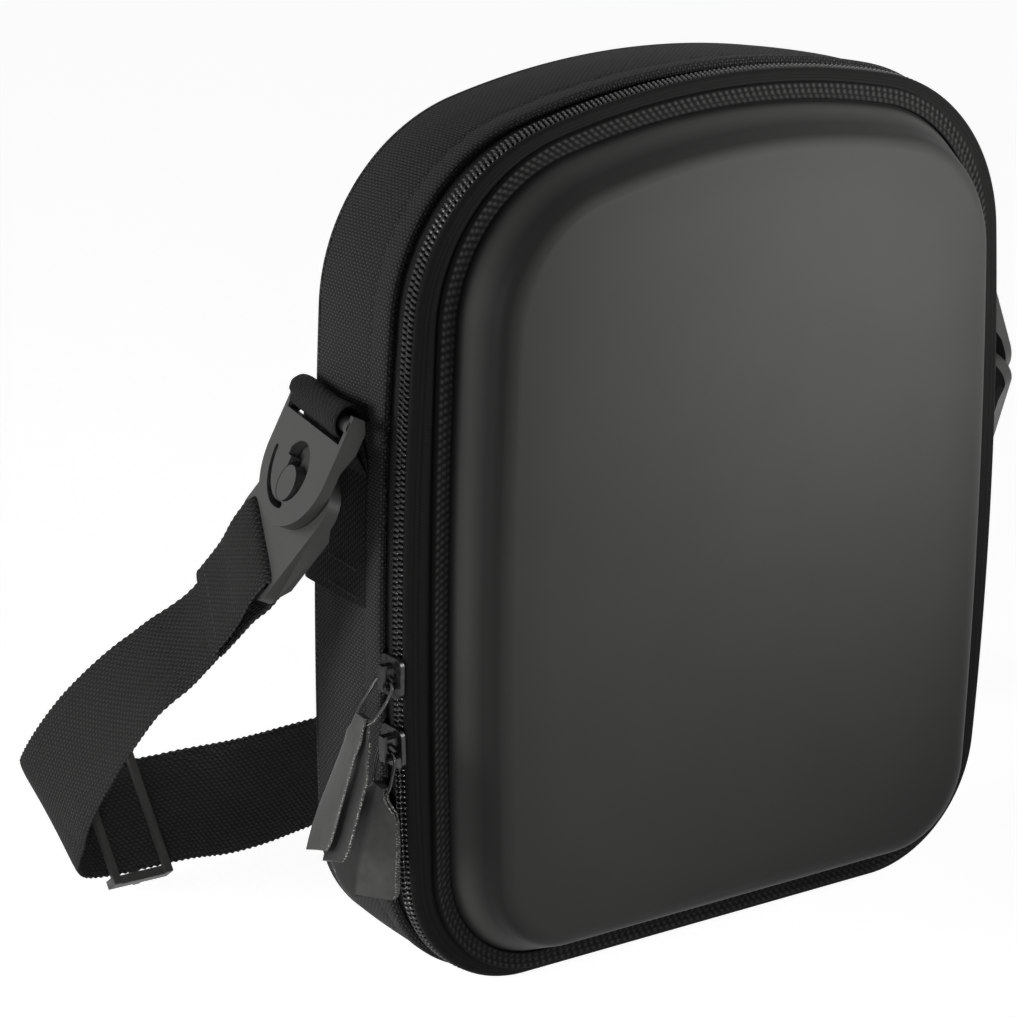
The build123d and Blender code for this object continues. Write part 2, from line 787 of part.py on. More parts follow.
route += [
    ((-point[0], point[1], point[2]), Vector(-wide.X, wide.Y, wide.Z))
    for point, wide in reversed(leg + floor_right)
]
route_points = [Vector(*point) for point, wide in route]


def tangent_radii(points):
    """One radius per inner point, so that each arc takes 0.45 of the shorter run beside it."""
    radii = []
    for before, here, after in zip(points, points[1:], points[2:]):
        first, second = here - before, after - here
        turn = radians(max(first.get_angle(second), 0.5))
        reach = 0.45 * min(first.length, second.length)
        if abs(abs(here.X) - 134.0) < 0.1 or abs(abs(here.X) - 97.0) < 0.1:
            reach = 6.0
        radii.append(reach / tan(turn / 2))
    return radii


radii = tangent_radii(route_points)
print("strap radii", [round(radius, 1) for radius in radii])
with BuildLine() as strap_line:
    FilletPolyline(*route_points, radius=radii)
strap_path = strap_line.wire()
print("strap length", round(strap_path.length, 1))


def nearest_share(point):
    """Share of the path's length at the spot nearest to a point."""
    shares = [i / 400 for i in range(401)]
    return min(shares, key=lambda share: (strap_path.position_at(share) - point).length)


route_shares = [nearest_share(point) for point in route_points]
route_shares[0], route_shares[-1] = 0.0, 1.0


def width_at(share):
    """Direction of the strap's width at a share of its path, square to the path."""
    heading = strap_path.tangent_at(share)
    for i in range(len(route) - 1):
        if share <= route_shares[i + 1] or i == len(route) - 2:
            span = (share - route_shares[i]) / (route_shares[i + 1] - route_shares[i])
            wide = route[i][1] * (1 - span) + route[i + 1][1] * span
            return (wide - heading * wide.dot(heading)).normalized()


def strap_piece(first, last, steps):
    """Flat strap between two shares of its path, ruled between sections square to it."""
    with BuildPart() as piece:
        for i in range(steps + 1):
            share = first + (last - first) * i / steps
            section = Plane(
                strap_path.position_at(share),
                x_dir=width_at(share),
                z_dir=strap_path.tangent_at(share),
            )
            with BuildSketch(section):
                Rectangle(strap_width, strap_skin)
        loft(ruled=True)
    return piece.part


adjuster_at = Vector(-115.5, 92.5, 17.0)
adjuster_share = nearest_share(adjuster_at)
middle_share = nearest_share(Vector(0, 97.0, strap_width / 2))
join = 0.15 / strap_path.length

with BuildPart() as strap_left:
    add(strap_piece(0.0, middle_share - join, 26))
strap_left.part.label = "strap_left"

with BuildPart() as strap_right:
    add(strap_piece(middle_share + join, 1.0, 26))
strap_right.part.label = "strap_right"

adjuster_plane = Plane(
    strap_path.position_at(adjuster_share),
    x_dir=width_at(adjuster_share),
    z_dir=strap_path.tangent_at(adjuster_share),
)
with BuildPart() as strap_adjuster:
    for end in (-1, 1):
        with BuildSketch(adjuster_plane.offset(-adjuster_length / 2)):
            with Locations((end * (strap_width / 2 + adjuster_play + adjuster_rail / 2), 0)):
                Rectangle(adjuster_rail, rail_depth + 1.2)
        extrude(amount=adjuster_length)
    for level, face in ((-adjuster_length / 2, 1), (adjuster_length / 2 - adjuster_bar, 1), (-adjuster_bar / 2, -1)):
        with BuildSketch(adjuster_plane.offset(level)):
            with Locations((0, face * (rail_depth + adjuster_face) / 2)):
                Rectangle(2 * rail_half, adjuster_face)
        extrude(amount=adjuster_bar)
strap_adjuster.part.label = "strap_adjuster"

# ---- files ---------------------------------------------------------------------------------------
for piece in (
    gusset.part,
    back_panel.part,
    mouth_hem.part,
    body_zip_tape.part,
    body_zip_coil.part,
    zip_end_tabs.part,
    hinge_strip.part,
    gusset_padding.part,
    body_lining.part,
    back_padding.part,
    back_board.part,
    lid_zip_coil.part,
    lid_zip_tape.part,
    lid_band.part,
    lid_panel.part,
    lid_binding.part,
    lid_lining.part,
    side_webbing_left.part,
    clip_plate_left.part,
    hook_plate_left.part,
    strap_end_left.part,
    mirrored["side_webbing_right"],
    mirrored["clip_plate_right"],
    mirrored["hook_plate_right"],
    mirrored["strap_end_right"],
    slider_upper.part,
    slider_lower.part,
    pull_wire_upper.part,
    pull_wire_lower.part,
    pull_tab_upper.part,
    pull_tab_lower.part,
    strap_left.part,
    strap_right.part,
    strap_adjuster.part,
):
    export_step(piece, "parts/" + piece.label + ".step")
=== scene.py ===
"""Dressing of a zip-around binocular case: fabric, zip, moulded lid, clips and strap over the fixed frame.

X runs across the case, Y runs back (the lid faces -Y) and Z is up.  Shapes and cloth patterns are worked
out in millimetres; meshes, the camera and the lamps are in metres.
"""
from math import cos, pi, radians, sin, sqrt

import bmesh
import bpy
import numpy as np
from mathutils import Matrix, Vector


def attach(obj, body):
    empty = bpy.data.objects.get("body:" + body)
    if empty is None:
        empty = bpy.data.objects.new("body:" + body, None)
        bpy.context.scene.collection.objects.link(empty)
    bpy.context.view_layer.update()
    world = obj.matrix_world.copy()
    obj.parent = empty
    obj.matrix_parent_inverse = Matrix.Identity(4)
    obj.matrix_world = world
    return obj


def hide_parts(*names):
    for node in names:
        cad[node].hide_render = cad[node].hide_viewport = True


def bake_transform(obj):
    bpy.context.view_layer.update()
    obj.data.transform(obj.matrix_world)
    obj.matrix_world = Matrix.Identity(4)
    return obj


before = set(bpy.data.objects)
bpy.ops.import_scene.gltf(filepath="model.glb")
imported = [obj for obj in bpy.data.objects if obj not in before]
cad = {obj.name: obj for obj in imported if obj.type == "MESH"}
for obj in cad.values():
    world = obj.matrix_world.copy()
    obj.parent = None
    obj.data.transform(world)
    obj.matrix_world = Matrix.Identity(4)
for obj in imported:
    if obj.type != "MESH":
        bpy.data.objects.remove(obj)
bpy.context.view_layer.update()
mm = 0.001

# ---- camera --------------------------------------------------------------------------------------
# A long lens from the left and a little above, so that the left side, the crest and the lid all show.
azimuth, elevation, roll = radians(-36.04), radians(18.22), radians(0.746)
away = Vector((sin(azimuth) * cos(elevation), -cos(azimuth) * cos(elevation), sin(elevation)))
level = Vector((cos(azimuth), sin(azimuth), 0))
upright = away.cross(level)
right = level * cos(roll) + upright * sin(roll)
up = upright * cos(roll) - level * sin(roll)
looks_at, distance = Vector((-0.0688, -0.0300, 0.1350)), 1.1724
spot = looks_at + away * distance


def linked(name, data):
    """New object in the scene."""
    holder = bpy.data.objects.new(name, data)
    bpy.context.scene.collection.objects.link(holder)
    return holder


camera = linked("camera", bpy.data.cameras.new("camera"))
camera.data.lens, camera.data.sensor_width = 159.23, 36.0
camera.matrix_world = Matrix((
    (right.x, up.x, away.x, spot.x),
    (right.y, up.y, away.y, spot.y),
    (right.z, up.z, away.z, spot.z),
    (0, 0, 0, 1),
))
bpy.context.scene.camera = camera


# ---- strap ---------------------------------------------------------------------------------------
# Woven nylon strap, 32 mm wide, in two halves that meet behind the case.  Each half leaves its sewn tail
# at the clip, drops to the ground and lies on its lower edge behind the case.
def joined(operation, turned=False):
    """Operator of a value: one Math node of its own and the other term, in turned order where asked."""
    return lambda value, other: value.math(operation, *((other, value) if turned else (value, other)))


class Value:
    """A shader socket that reads like a number: an expression on it adds its Math nodes."""

    def __init__(self, nodes, socket):
        self.nodes, self.socket = nodes, socket

    def math(self, operation, *terms):
        return self.nodes.node("ShaderNodeMath", {"operation": operation}, list(terms))

    __add__ = __radd__ = joined("ADD")
    __sub__, __rsub__ = joined("SUBTRACT"), joined("SUBTRACT", turned=True)
    __mul__ = __rmul__ = joined("MULTIPLY")
    __truediv__, __mod__, __pow__ = joined("DIVIDE"), joined("FLOORED_MODULO"), joined("POWER")
    __gt__, __lt__ = joined("GREATER_THAN"), joined("LESS_THAN")
    atmost, atleast = joined("MINIMUM"), joined("MAXIMUM")

    def size(self):
        return self.math("ABSOLUTE", self)

    def whole(self):
        return self.math("FLOOR", self)

    def part(self):
        return self.math("FRACT", self)

    def wave(self):
        """Sine of the value, counted in whole turns."""
        return self.math("SINE", self * (2 * pi))

    def hump(self):
        """One rounded ridge from each whole number to the next."""
        return self.math("SINE", self.part() * pi)


class Nodes:
    """A node tree.  node() adds any node: its own settings first, then its sockets."""

    def __init__(self, tree):
        self.tree = tree

    def node(self, kind, settings, inputs, output=0):
        made = self.tree.nodes.new(kind)
        for name, setting in settings.items():
            setattr(made, name, setting)
        for name, value in inputs.items() if isinstance(inputs, dict) else enumerate(inputs):
            self.feed(made.inputs[name], value)
        return Value(self, made.outputs[output])

    def feed(self, socket, value):
        if isinstance(value, Value):
            self.tree.links.new(value.socket, socket)
        else:
            socket.default_value = value

    def place(self, source="UV"):
        """Two or three coordinates in millimetres, from the cloth's own map or from the object."""
        found = self.node("ShaderNodeTexCoord", {}, {}, source)
        scale = 1.0 if source == "UV" else 1000.0
        return [self.node("ShaderNodeSeparateXYZ", {}, [found], axis) * scale for axis in ("X", "Y", "Z")]

    def point(self, *parts):
        return self.node("ShaderNodeCombineXYZ", {}, list(parts))

    def noise(self, point, scale, detail=3.0, rough=0.5):
        sockets = {"Vector": point, "Scale": scale, "Detail": detail, "Roughness": rough}
        return self.node("ShaderNodeTexNoise", {}, sockets, "Fac")

    def mix(self, share, first, second):
        return self.node("ShaderNodeMix", {"data_type": "RGBA"}, {0: share, 6: first, 7: second}, 2)


def shade(code):
    """Linear colour of a screen colour written in six hexadecimal digits."""
    parts = np.array([int(code[i:i + 2], 16) for i in (0, 2, 4)]) / 255
    return (*np.where(parts < 0.04045, parts / 12.92, ((parts + 0.055) / 1.055) ** 2.4), 1.0)


class Finish(Nodes):
    """A material: what is the same all over is set here, what changes is joined by dress()."""

    def __init__(self, name, rough, specular, metallic=0.0, sheen=0.0):
        self.material = bpy.data.materials.new(name)
        self.material.use_nodes = True
        super().__init__(self.material.node_tree)
        self.surface = self.tree.nodes["Principled BSDF"].inputs
        self.surface["Roughness"].default_value = rough
        self.surface["Specular IOR Level"].default_value = specular
        self.surface["Metallic"].default_value = metallic
        self.surface["Sheen Weight"].default_value = sheen
        self.surface["Sheen Roughness"].default_value = 0.4

    def dress(self, colour, height, depth, rough=None):
        """Joins colour, relief (height from 0 to 1, depth in millimetres) and roughness."""
        self.feed(self.surface["Base Color"], colour)
        sockets = {"Strength": 1.0, "Distance": depth * mm, "Height": height}
        self.feed(self.surface["Normal"], self.node("ShaderNodeBump", {}, sockets))
        if rough is not None:
            self.feed(self.surface["Roughness"], rough)


def twill(nodes, along, across, yarn, float_length, shift):
    """Height of a ribbed webbing: each yarn is a rounded ridge across the cloth, which rises and dips
    along it as a raised cosine, and each next yarn starts a share of a float later."""
    count = (across / yarn).whole()
    turn = along / float_length + count * shift
    return (across / yarn).hump() * (turn.wave() * 0.42 + 0.58)


strap_cloth = Finish("strap_webbing", rough=0.75, specular=0.05)
along, across, _ = strap_cloth.place()
yarns = twill(strap_cloth, along, across, 1.0, 1.7, 0.42)
fuzz = strap_cloth.noise(strap_cloth.point(along, across, 0.0), 2.2, 4.0, 0.7)
patches = strap_cloth.noise(strap_cloth.point(along, across, 0.0), 0.06, 2.0)
tone = strap_cloth.mix((yarns * 0.75 + fuzz * 0.3).atmost(1.0), shade("191918"), shade("525251"))
tone = strap_cloth.mix(patches * 0.5, tone, shade("2e2e2d"))
strap_cloth.dress(tone, yarns + fuzz * 0.25, 0.42)


def spline_line(points):
    """Points along the open second-degree NURBS whose control points are given, in millimetres."""
    data = bpy.data.curves.new("line", "CURVE")
    data.dimensions, data.resolution_u = "3D", 40
    spline = data.splines.new("NURBS")
    spline.points.add(len(points) - 1)
    spline.points.foreach_set("co", np.c_[np.array(points) * mm, np.ones(len(points))].ravel())
    spline.order_u, spline.use_endpoint_u = 3, True
    holder = linked("line", data)
    bpy.context.view_layer.update()
    read = bpy.data.meshes.new_from_object(holder)
    line = np.zeros(len(read.vertices) * 3, np.float32)
    read.vertices.foreach_get("co", line)
    bpy.data.objects.remove(holder)
    return line.reshape(-1, 3).astype(float) / mm


def unit(vectors):
    return vectors / np.linalg.norm(vectors, axis=-1, keepdims=True)


def evenly(line, step, *carried):
    """The line, and what is carried along it, at even steps of its own length."""
    run = np.r_[0, np.cumsum(np.linalg.norm(np.diff(line, axis=0), axis=1))]
    stops = np.linspace(0, run[-1], max(3, int(run[-1] / step) + 1))
    return stops, *(
        np.stack([np.interp(stops, run, axis) for axis in one.T], 1) for one in (line, *carried)
    )


def clean(mesh, merge=0.0, flat=0.0):
    """Merges points closer than merge, joins faces that lie within an angle of flat, turns the faces
    outwards and shades them smooth."""
    shell = bmesh.new()
    shell.from_mesh(mesh)
    if merge:
        bmesh.ops.remove_doubles(shell, verts=shell.verts, dist=merge)
    if flat:
        bmesh.ops.dissolve_limit(shell, angle_limit=flat, verts=shell.verts, edges=shell.edges)
    bmesh.ops.recalc_face_normals(shell, faces=shell.faces)
    shell.to_mesh(mesh)
    shell.free()
    mesh.shade_smooth()


def stacked(*axes):
    """Arrays spread to one shape and joined as the last axis of a new one."""
    return np.stack(np.broadcast_arrays(*axes), -1)


def skin(name, grid, pattern, finish, round_rows=False, round_cols=True, ends=False, sharp=50):
    """Mesh of quads over a grid of points (rows, columns, xyz) in millimetres; rows or columns may close
    on themselves, open ends may be capped, and points that fall together, as at a pole, are merged.
    pattern holds the cloth's own coordinates, one more each way where the grid closes."""
    rows, cols = grid.shape[:2]
    row = np.arange(rows if round_rows else rows - 1)[:, None]
    col = np.arange(cols if round_cols else cols - 1)[None, :]
    next_row, next_col = (row + 1) % rows, (col + 1) % cols
    quads = stacked(
        row * cols + col, row * cols + next_col, next_row * cols + next_col, next_row * cols + col
    ).reshape(-1, 4)
    across = pattern.shape[1]
    map_at = stacked(
        row * across + col, row * across + col + 1, (row + 1) * across + col + 1, (row + 1) * across + col
    ).reshape(-1)
    corners, map_at = list(quads.ravel()), list(map_at)
    starts, totals = list(range(0, len(corners), 4)), [4] * len(quads)
    if ends:
        for at, order in ((0, slice(None, None, -1)), (rows - 1, slice(None))):
            loop = np.arange(cols)[order]
            starts.append(len(corners))
            totals.append(cols)
            corners += list(at * cols + loop)
            map_at += list(at * across + loop)
    mesh = bpy.data.meshes.new(name)
    mesh.vertices.add(rows * cols)
    mesh.vertices.foreach_set("co", (grid * mm).ravel())
    mesh.loops.add(len(corners))
    mesh.loops.foreach_set("vertex_index", corners)
    mesh.polygons.add(len(starts))
    mesh.polygons.foreach_set("loop_start", starts)
    mesh.polygons.foreach_set("loop_total", totals)
    mesh.update(calc_edges=True)
    layer = mesh.uv_layers.new(name="cloth")
    layer.data.foreach_set("uv", pattern.reshape(-1, 2)[map_at].ravel())
    clean(mesh, 1e-7)
    mesh.set_sharp_from_angle(angle=radians(sharp))
    mesh.materials.append(finish)
    return linked(name, mesh)


def ribbon(name, line, wide, width, skin_depth, finish, step=0.4, edge_wave=0.2, edge_pitch=2.1, lanes=15):
    """Flat woven band: at each point of the line a flat loop lies across it, as wide as the band and as
    deep as its cloth, whose depth falls off at the edges as the root of 1 - a^8, and whose edges wave."""
    stops, line, wide = evenly(line, step, wide)
    ahead = unit(np.gradient(line, axis=0))
    wide = unit(wide - ahead * (wide * ahead).sum(1, keepdims=True))
    out = np.cross(ahead, wide)
    lane = np.sin(np.linspace(-pi / 2, pi / 2, lanes))
    lane = np.r_[lane, lane[-2:0:-1]]
    face = np.r_[np.ones(lanes), -np.ones(lanes - 2)]
    half = width / 2 + edge_wave * np.sin(2 * pi * stops / edge_pitch)[:, None]
    depth = skin_depth / 2 * face * np.sqrt(1.0001 - np.abs(lane) ** 8)
    grid = line[:, None] + wide[:, None] * (half * lane)[..., None] + out[:, None] * depth[None, :, None]
    turn = np.r_[lane, lane[0]] * width / 2
    pattern = stacked(stops[:, None], turn)
    return skin(name, grid, pattern, finish, ends=True), line


yaw, lean, swivel = radians(12.7), radians(25.3), radians(27.0)
bar_at = np.array([-104.446, 4.0, 160.3])
bar_along = np.array([-sin(yaw), -cos(yaw), 0])
plate_down = np.array([-cos(yaw), sin(yaw), 0]) * sin(lean) + np.array([0, 0, -cos(lean)])
inward = np.cross(bar_along, plate_down)
hook_across = bar_along * cos(swivel) + plate_down * sin(swivel)
hook_down = plate_down * cos(swivel) - bar_along * sin(swivel)
stud = bar_at + bar_along * 1.5 + plate_down * 22.0
strap_width, strap_depth = 32.0, 1.7
slot_at, tail_mid = 2.5, 3.65  # the sewn tail's middle, across the hook and behind its face


def on_hook(across, down, deep):
    """Points of the left hook's own frame, in the case's frame."""
    across, down, deep = np.broadcast_arrays(across, down, deep)
    return stud + across[..., None] * hook_across + down[..., None] * hook_down + deep[..., None] * inward


def leaning(angle):
    return (0.0, sin(radians(angle)), cos(radians(angle)))


tail = on_hook(slot_at, 46.1, tail_mid)
leg = [tail, tail + hook_down * 9.0, (-139.0, 39.0, 82.5), (-148.5, 55.5, 59.0), (-148.5, 75.0, 34.0)]
leg_wide = [-hook_across, -hook_across, (0.30, 0.84, 0.45), (0.02, 0.80, 0.60), (-0.18, 0.78, 0.60)]
ground = {
    "left": [(-134.0, 93.0, 17.28), (-97.0, 92.0, 17.28), (-76.0, 91.0, 15.63), (-50.0, 94.0, 16.13)],
    "right": [(-134.0, 93.0, 12.61), (-97.0, 92.0, 13.59), (-76.0, 91.0, 15.63), (-50.0, 94.0, 16.13)],
}
ground_lean = {"left": (38, 38, 18, 7, 0, 0), "right": (42, 36, 18, 7, 0, 0)}
flips = {"left": np.array([1.0, 1.0, 1.0]), "right": np.array([-1.0, 1.0, 1.0])}
for side, flip in flips.items():
    stops = np.array([*leg, *ground[side], (-18.0, 97.0, 16.15), (-0.2, 97.0, 16.15)]) * flip
    wide = np.array([*leg_wide, *(leaning(angle) for angle in ground_lean[side])]) * flip
    line = spline_line(stops)
    near = [int(np.argmin(np.linalg.norm(line - stop, axis=1))) for stop in stops]
    near[0], near[-1] = 0, len(line) - 1
    carried = np.stack([np.interp(np.arange(len(line)), near, wide[:, i]) for i in range(3)], 1)
    band, path = ribbon("strap_band_" + side, line, carried, strap_width, strap_depth, strap_cloth.material)
    foot = stops[4]
    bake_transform(band)
    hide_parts("strap_" + side)

# ---- strap's sewn tails --------------------------------------------------------------------------
# Each end of the strap goes through the hook's slot, folds back over the edge and is sewn to itself with
# two rows of thread.


def through(points, samples=14):
    """Smooth line through corner points: second-degree pieces between the middles of the runs."""
    points = np.array(points)
    middles = (points[:-1] + points[1:]) / 2
    share = np.linspace(0, 1, samples, endpoint=False)[:, None]
    pieces = []
    for i in range(1, len(points) - 1):
        first = points[0] if i == 1 else middles[i - 1]
        last = points[-1] if i == len(points) - 2 else middles[i]
        pieces.append(first * (1 - share) ** 2 + 2 * points[i] * share * (1 - share) + last * share**2)
    return np.vstack([*pieces, points[-1:]])


def stitches(name, at, ahead, out, length, radius, finish):
    """Row of sewn stitches: each is a short thread whose height over the cloth is half a sine wave,
    swept with a small circle whose radius falls to nothing at both ends as the root of a sine."""
    share = np.linspace(0, 1, 7)
    turn = np.linspace(0, 2 * pi, 7)[:-1]
    rise = np.sin(pi * share) * radius * 0.9 - radius * 0.35
    thick = radius * np.sqrt(np.clip(np.sin(pi * share), 0.02, 1))
    side = np.cross(ahead, out)
    spine = at[:, None] + ahead[:, None] * ((share - 0.5) * length)[None, :, None]
    spine = spine + out[:, None] * rise[None, :, None]
    ring = np.cos(turn)[:, None] * side[:, None, None] + np.sin(turn)[:, None] * out[:, None, None]
    grid = spine[:, :, None] + ring * thick[None, :, None, None]
    count, steps, sides = grid.shape[:3]
    base = (np.arange(count) * steps * sides)[:, None, None]
    i, j = np.arange(steps - 1)[None, :, None], np.arange(sides)[None, None, :]
    quads = stacked(
        base + i * sides + j, base + i * sides + (j + 1) % sides,
        base + (i + 1) * sides + (j + 1) % sides, base + (i + 1) * sides + j,
    ).reshape(-1, 4)
    caps = np.concatenate([base[:, 0] + np.arange(sides)[None, ::-1],
                           base[:, 0] + (steps - 1) * sides + np.arange(sides)[None, :]])
    mesh = bpy.data.meshes.new(name)
    mesh.from_pydata((grid.reshape(-1, 3) * mm).tolist(), [], quads.tolist() + caps.tolist())
    clean(mesh)
    mesh.materials.append(finish)
    return linked(name, mesh)


thread = Finish("sewing_thread", rough=0.55, specular=0.3)
sx, sy, sz = thread.place("Object")
lint = thread.noise(thread.point(sx, sy, sz), 1.4)
thread.dress(thread.mix(lint, shade("232425"), shade("3a3b3c")), lint, 0.05)

tail_stops = np.array([
    (47.6, -2.0), (42.0, -1.75), (34.5, -1.7), (28.0, -2.95), (20.5, -3.05), (17.6, -2.2),
    (17.6, 2.2), (20.5, 3.05), (27.0, 2.95), (31.5, 1.25), (38.0, 0.85), (46.6, 0.0),
])
tail_line, tail_size = through(tail_stops), (strap_width + 1.4, strap_depth + 0.2)
for side, flip in flips.items():
    line = on_hook(slot_at, tail_line[:, 0], tail_mid + tail_line[:, 1]) * flip
    wide = np.broadcast_to(hook_across * flip, line.shape)
    band, _ = ribbon("strap_tail_" + side, line, wide, *tail_size, strap_cloth.material)
    tuple(on_hook(slot_at, 45.0, tail_mid) * flip * mm)
    tuple(on_hook(slot_at, 28.0, tail_mid) * flip * mm)
    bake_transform(band)
    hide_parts("strap_end_" + side)
    down, across = np.meshgrid((43.6, 33.5), slot_at + np.arange(-13.5, 13.6, 2.6), indexing="ij")
    at = on_hook(across.ravel(), down.ravel(), tail_mid - 2.62) * flip
    ahead = np.broadcast_to(hook_across * flip, at.shape)
    out = np.broadcast_to(-inward * flip, at.shape)
    seam = stitches("tail_stitches_" + side, at, ahead, out, 2.1, 0.26, thread.material)
    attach(seam, "clip_" + side)

# ---- side panel ----------------------------------------------------------------------------------
# One strip of ballistic nylon goes round the body; at the mouth it is folded in, and the fold is
# topstitched about 9 mm back.


def outline(half, bow, top, bottom, r_top, r_bottom, r_crest, share):
    """Points and outward directions at shares of the way round: flat base, bowed sides, arched crest.

    A side of height h that bows by b is an arc of radius (h*h/4 + b*b)/(2*b).  A corner's arc touches
    both its neighbours, so its centre lies on each neighbour's circle made smaller by its radius.  The
    way round runs from the middle of the base up the right side; the left side mirrors it."""
    shoulder = top - r_crest + np.sqrt(r_crest**2 - half**2)
    middle = (bottom + shoulder) / 2
    arc = ((shoulder - bottom) ** 2 / 4 + bow**2) / (2 * bow)
    arc_x, low_z, crest_z = half + bow - arc, bottom + r_bottom, top - r_crest
    low_x = arc_x + np.sqrt((arc - r_bottom) ** 2 - (low_z - middle) ** 2)
    near, far, gap = arc - r_top, r_crest - r_top, np.hypot(arc_x, crest_z - middle)
    run = (near**2 - far**2 + gap**2) / (2 * gap)
    off = np.sqrt(near**2 - run**2)
    unit_x, unit_z = -arc_x / gap, (crest_z - middle) / gap
    high_x, high_z = arc_x + unit_x * run - unit_z * off, middle + unit_z * run + unit_x * off
    turns = [
        np.arctan2(low_z - middle, low_x - arc_x), np.arctan2(high_z - middle, high_x - arc_x),
        np.arctan2(high_z - crest_z, high_x),
    ]
    lengths = [
        low_x, r_bottom * (turns[0] + pi / 2), arc * (turns[1] - turns[0]),
        r_top * (turns[2] - turns[1]), r_crest * (pi / 2 - turns[2]),
    ]
    ends = np.cumsum(np.stack(np.broadcast_arrays(*lengths)), 0)
    total = 2 * ends[-1]
    way = np.minimum(share, 1 - share) * total
    centres = [(low_x, low_z, r_bottom, -pi / 2), (arc_x, middle, arc, turns[0]),
               (high_x, high_z, r_top, turns[1]), (0 * low_x, crest_z, r_crest, turns[2])]
    x, z, nx, nz = way, bottom + 0 * way, 0 * way, -1 + 0 * way
    for i, (cx, cz, radius, start) in enumerate(centres):
        angle = start + (way - ends[i]) / radius
        here = way > ends[i]
        x, z = np.where(here, cx + radius * np.cos(angle), x), np.where(here, cz + radius * np.sin(angle), z)
        nx, nz = np.where(here, np.cos(angle), nx), np.where(here, np.sin(angle), nz)
    mirror = np.where(share <= 0.5, 1.0, -1.0)
    return x * mirror, z, nx * mirror, nz, total


body_back, mid_height, crest_radius, way_round = 19.25, 120.0, 240.0, 770.0


def body_at(y):
    """Half width of the base, bow of a side and height of the body at depth y: all shrink to the back."""
    taper = np.clip((y + body_back) / (2 * body_back), 0, None)
    return 96 - 1.5 * taper, 6 - 3 * taper, 243 - 3 * taper


def whole_rows(rows):
    """Rows with all four values: one of (depth, inset) lies on the body's outline at full size."""
    return np.array([(*row, 0.0, 1.0)[:4] for row in rows])


def round_case(rows, share, swell=0.0):
    """Grid of points from rows (depth y, inset, share of the lid's rim, size about the middle): the body's
    outline narrows towards the back, the rim's bows less, and a row between them mixes both in a straight
    line.  swell moves points along the outline's outward direction."""
    y, inset, rim, size = whole_rows(rows).T[..., None]
    half, bow, top = body_at(y)
    body = outline(half - inset, bow, top - inset, inset + 0 * y, 54 - inset, 38 - inset,
                   crest_radius - inset, share)
    lid = outline(90.75 - inset, 3.0 + 0 * y, 238.75 - inset, 3.25 + inset, 48.75 - inset, 34.75 - inset,
                  234.75 - inset, share)
    x, z, nx, nz = (a + (b - a) * rim for a, b in zip(body[:4], lid[:4]))
    x, z = x * size + nx * swell, mid_height + (z - mid_height) * size + nz * swell
    return stacked(x, y, np.maximum(z, 0.0)), stacked(nx, 0 * y, nz)


def cloth_map(rows, share, close_rows):
    """Cloth coordinates of rows: millimetres round the case, and along the section."""
    steps = whole_rows([*rows, rows[0]] if close_rows else rows)
    step_y, step_inset, _, step_size = np.diff(steps, axis=0).T
    run = np.r_[0, np.cumsum(np.hypot(step_y, step_inset + 100 * step_size))]
    return stacked(share * way_round, run[:, None])


def full_ring(name, rows, count, finish, swell=0.0):
    """Closed band right round the case, from the rows of its closed section."""
    grid, _ = round_case(rows, np.arange(count) / count, swell)
    pattern = cloth_map(rows, np.arange(count + 1) / count, True)
    return skin(name, grid, pattern, finish, round_rows=True)


def open_ring(name, rows, finish, half_gap=60.0):
    """Band round the case that stops each side of the middle of the base, with capped ends."""
    share = np.linspace(half_gap / way_round, 1 - half_gap / way_round, 420)
    grid, _ = round_case(rows, share)
    pattern = cloth_map(rows, share, True)
    return skin(name, grid.transpose(1, 0, 2), pattern.transpose(1, 0, 2), finish, ends=True)


def ridge(at, middle, width):
    """Bell-shaped ridge: e to the power of minus the squared distance from its middle, in its widths."""
    return np.exp(-(((at - middle) / width) ** 2))


def ripples(share, counts, seed):
    """Sum of cosine waves round the case, each with its own whole number of waves and start."""
    starts = np.random.default_rng(seed).uniform(0, 2 * pi, (len(counts), 2))
    return sum(
        np.cos(2 * pi * n * share + start) * (0.6 + 0.4 * np.cos(2 * pi * 3 * share + other))
        for n, (start, other) in zip(counts, starts)
    ) / len(counts)


def basket(nodes, a, b, cell_a, cell_b):
    """Height of a basket weave: squares where one yarn is on top alternate with squares where the other
    is, and each yarn is a rounded ridge that sinks at the ends of its square."""
    first, second = a / cell_a, b / cell_b
    over = (first.whole() + second.whole()) % 2.0
    ridge, cross = first.hump(), second.hump()
    return over * ridge * (cross * 0.7 + 0.3) + (1.0 - over) * cross * (ridge * 0.5 + 0.5) * 0.4


def ballistic(nodes, a, b):
    """Tone and height of the coarse basket weave: the tone follows the yarns' height, a painted highlight on
    the raised yarns and painted shade between them and on the lower yarns, with random flecks in tone and
    height.
    """
    yarns = basket(nodes, a, b, 0.86, 0.84)
    flecks = nodes.noise(nodes.point(a, b, 0.0), 1.1, 3.0, 0.65)
    tone = nodes.mix((yarns * 1.2 + (flecks - 0.5) * 0.35).atmost(1.0), shade("1b1b1b"), shade("5d5d5c"))
    return tone, yarns + flecks * 0.2


nylon = Finish("ballistic_nylon", rough=0.62, specular=0.03)
a, b, _ = nylon.place()
tone, relief = ballistic(nylon, a, b)
clouds = nylon.noise(nylon.point(a * 0.03, b * 0.08, 0.0), 1.0, 2.0)
nylon.dress(nylon.mix(clouds * 0.35, tone, shade("393938")), relief, 0.30)

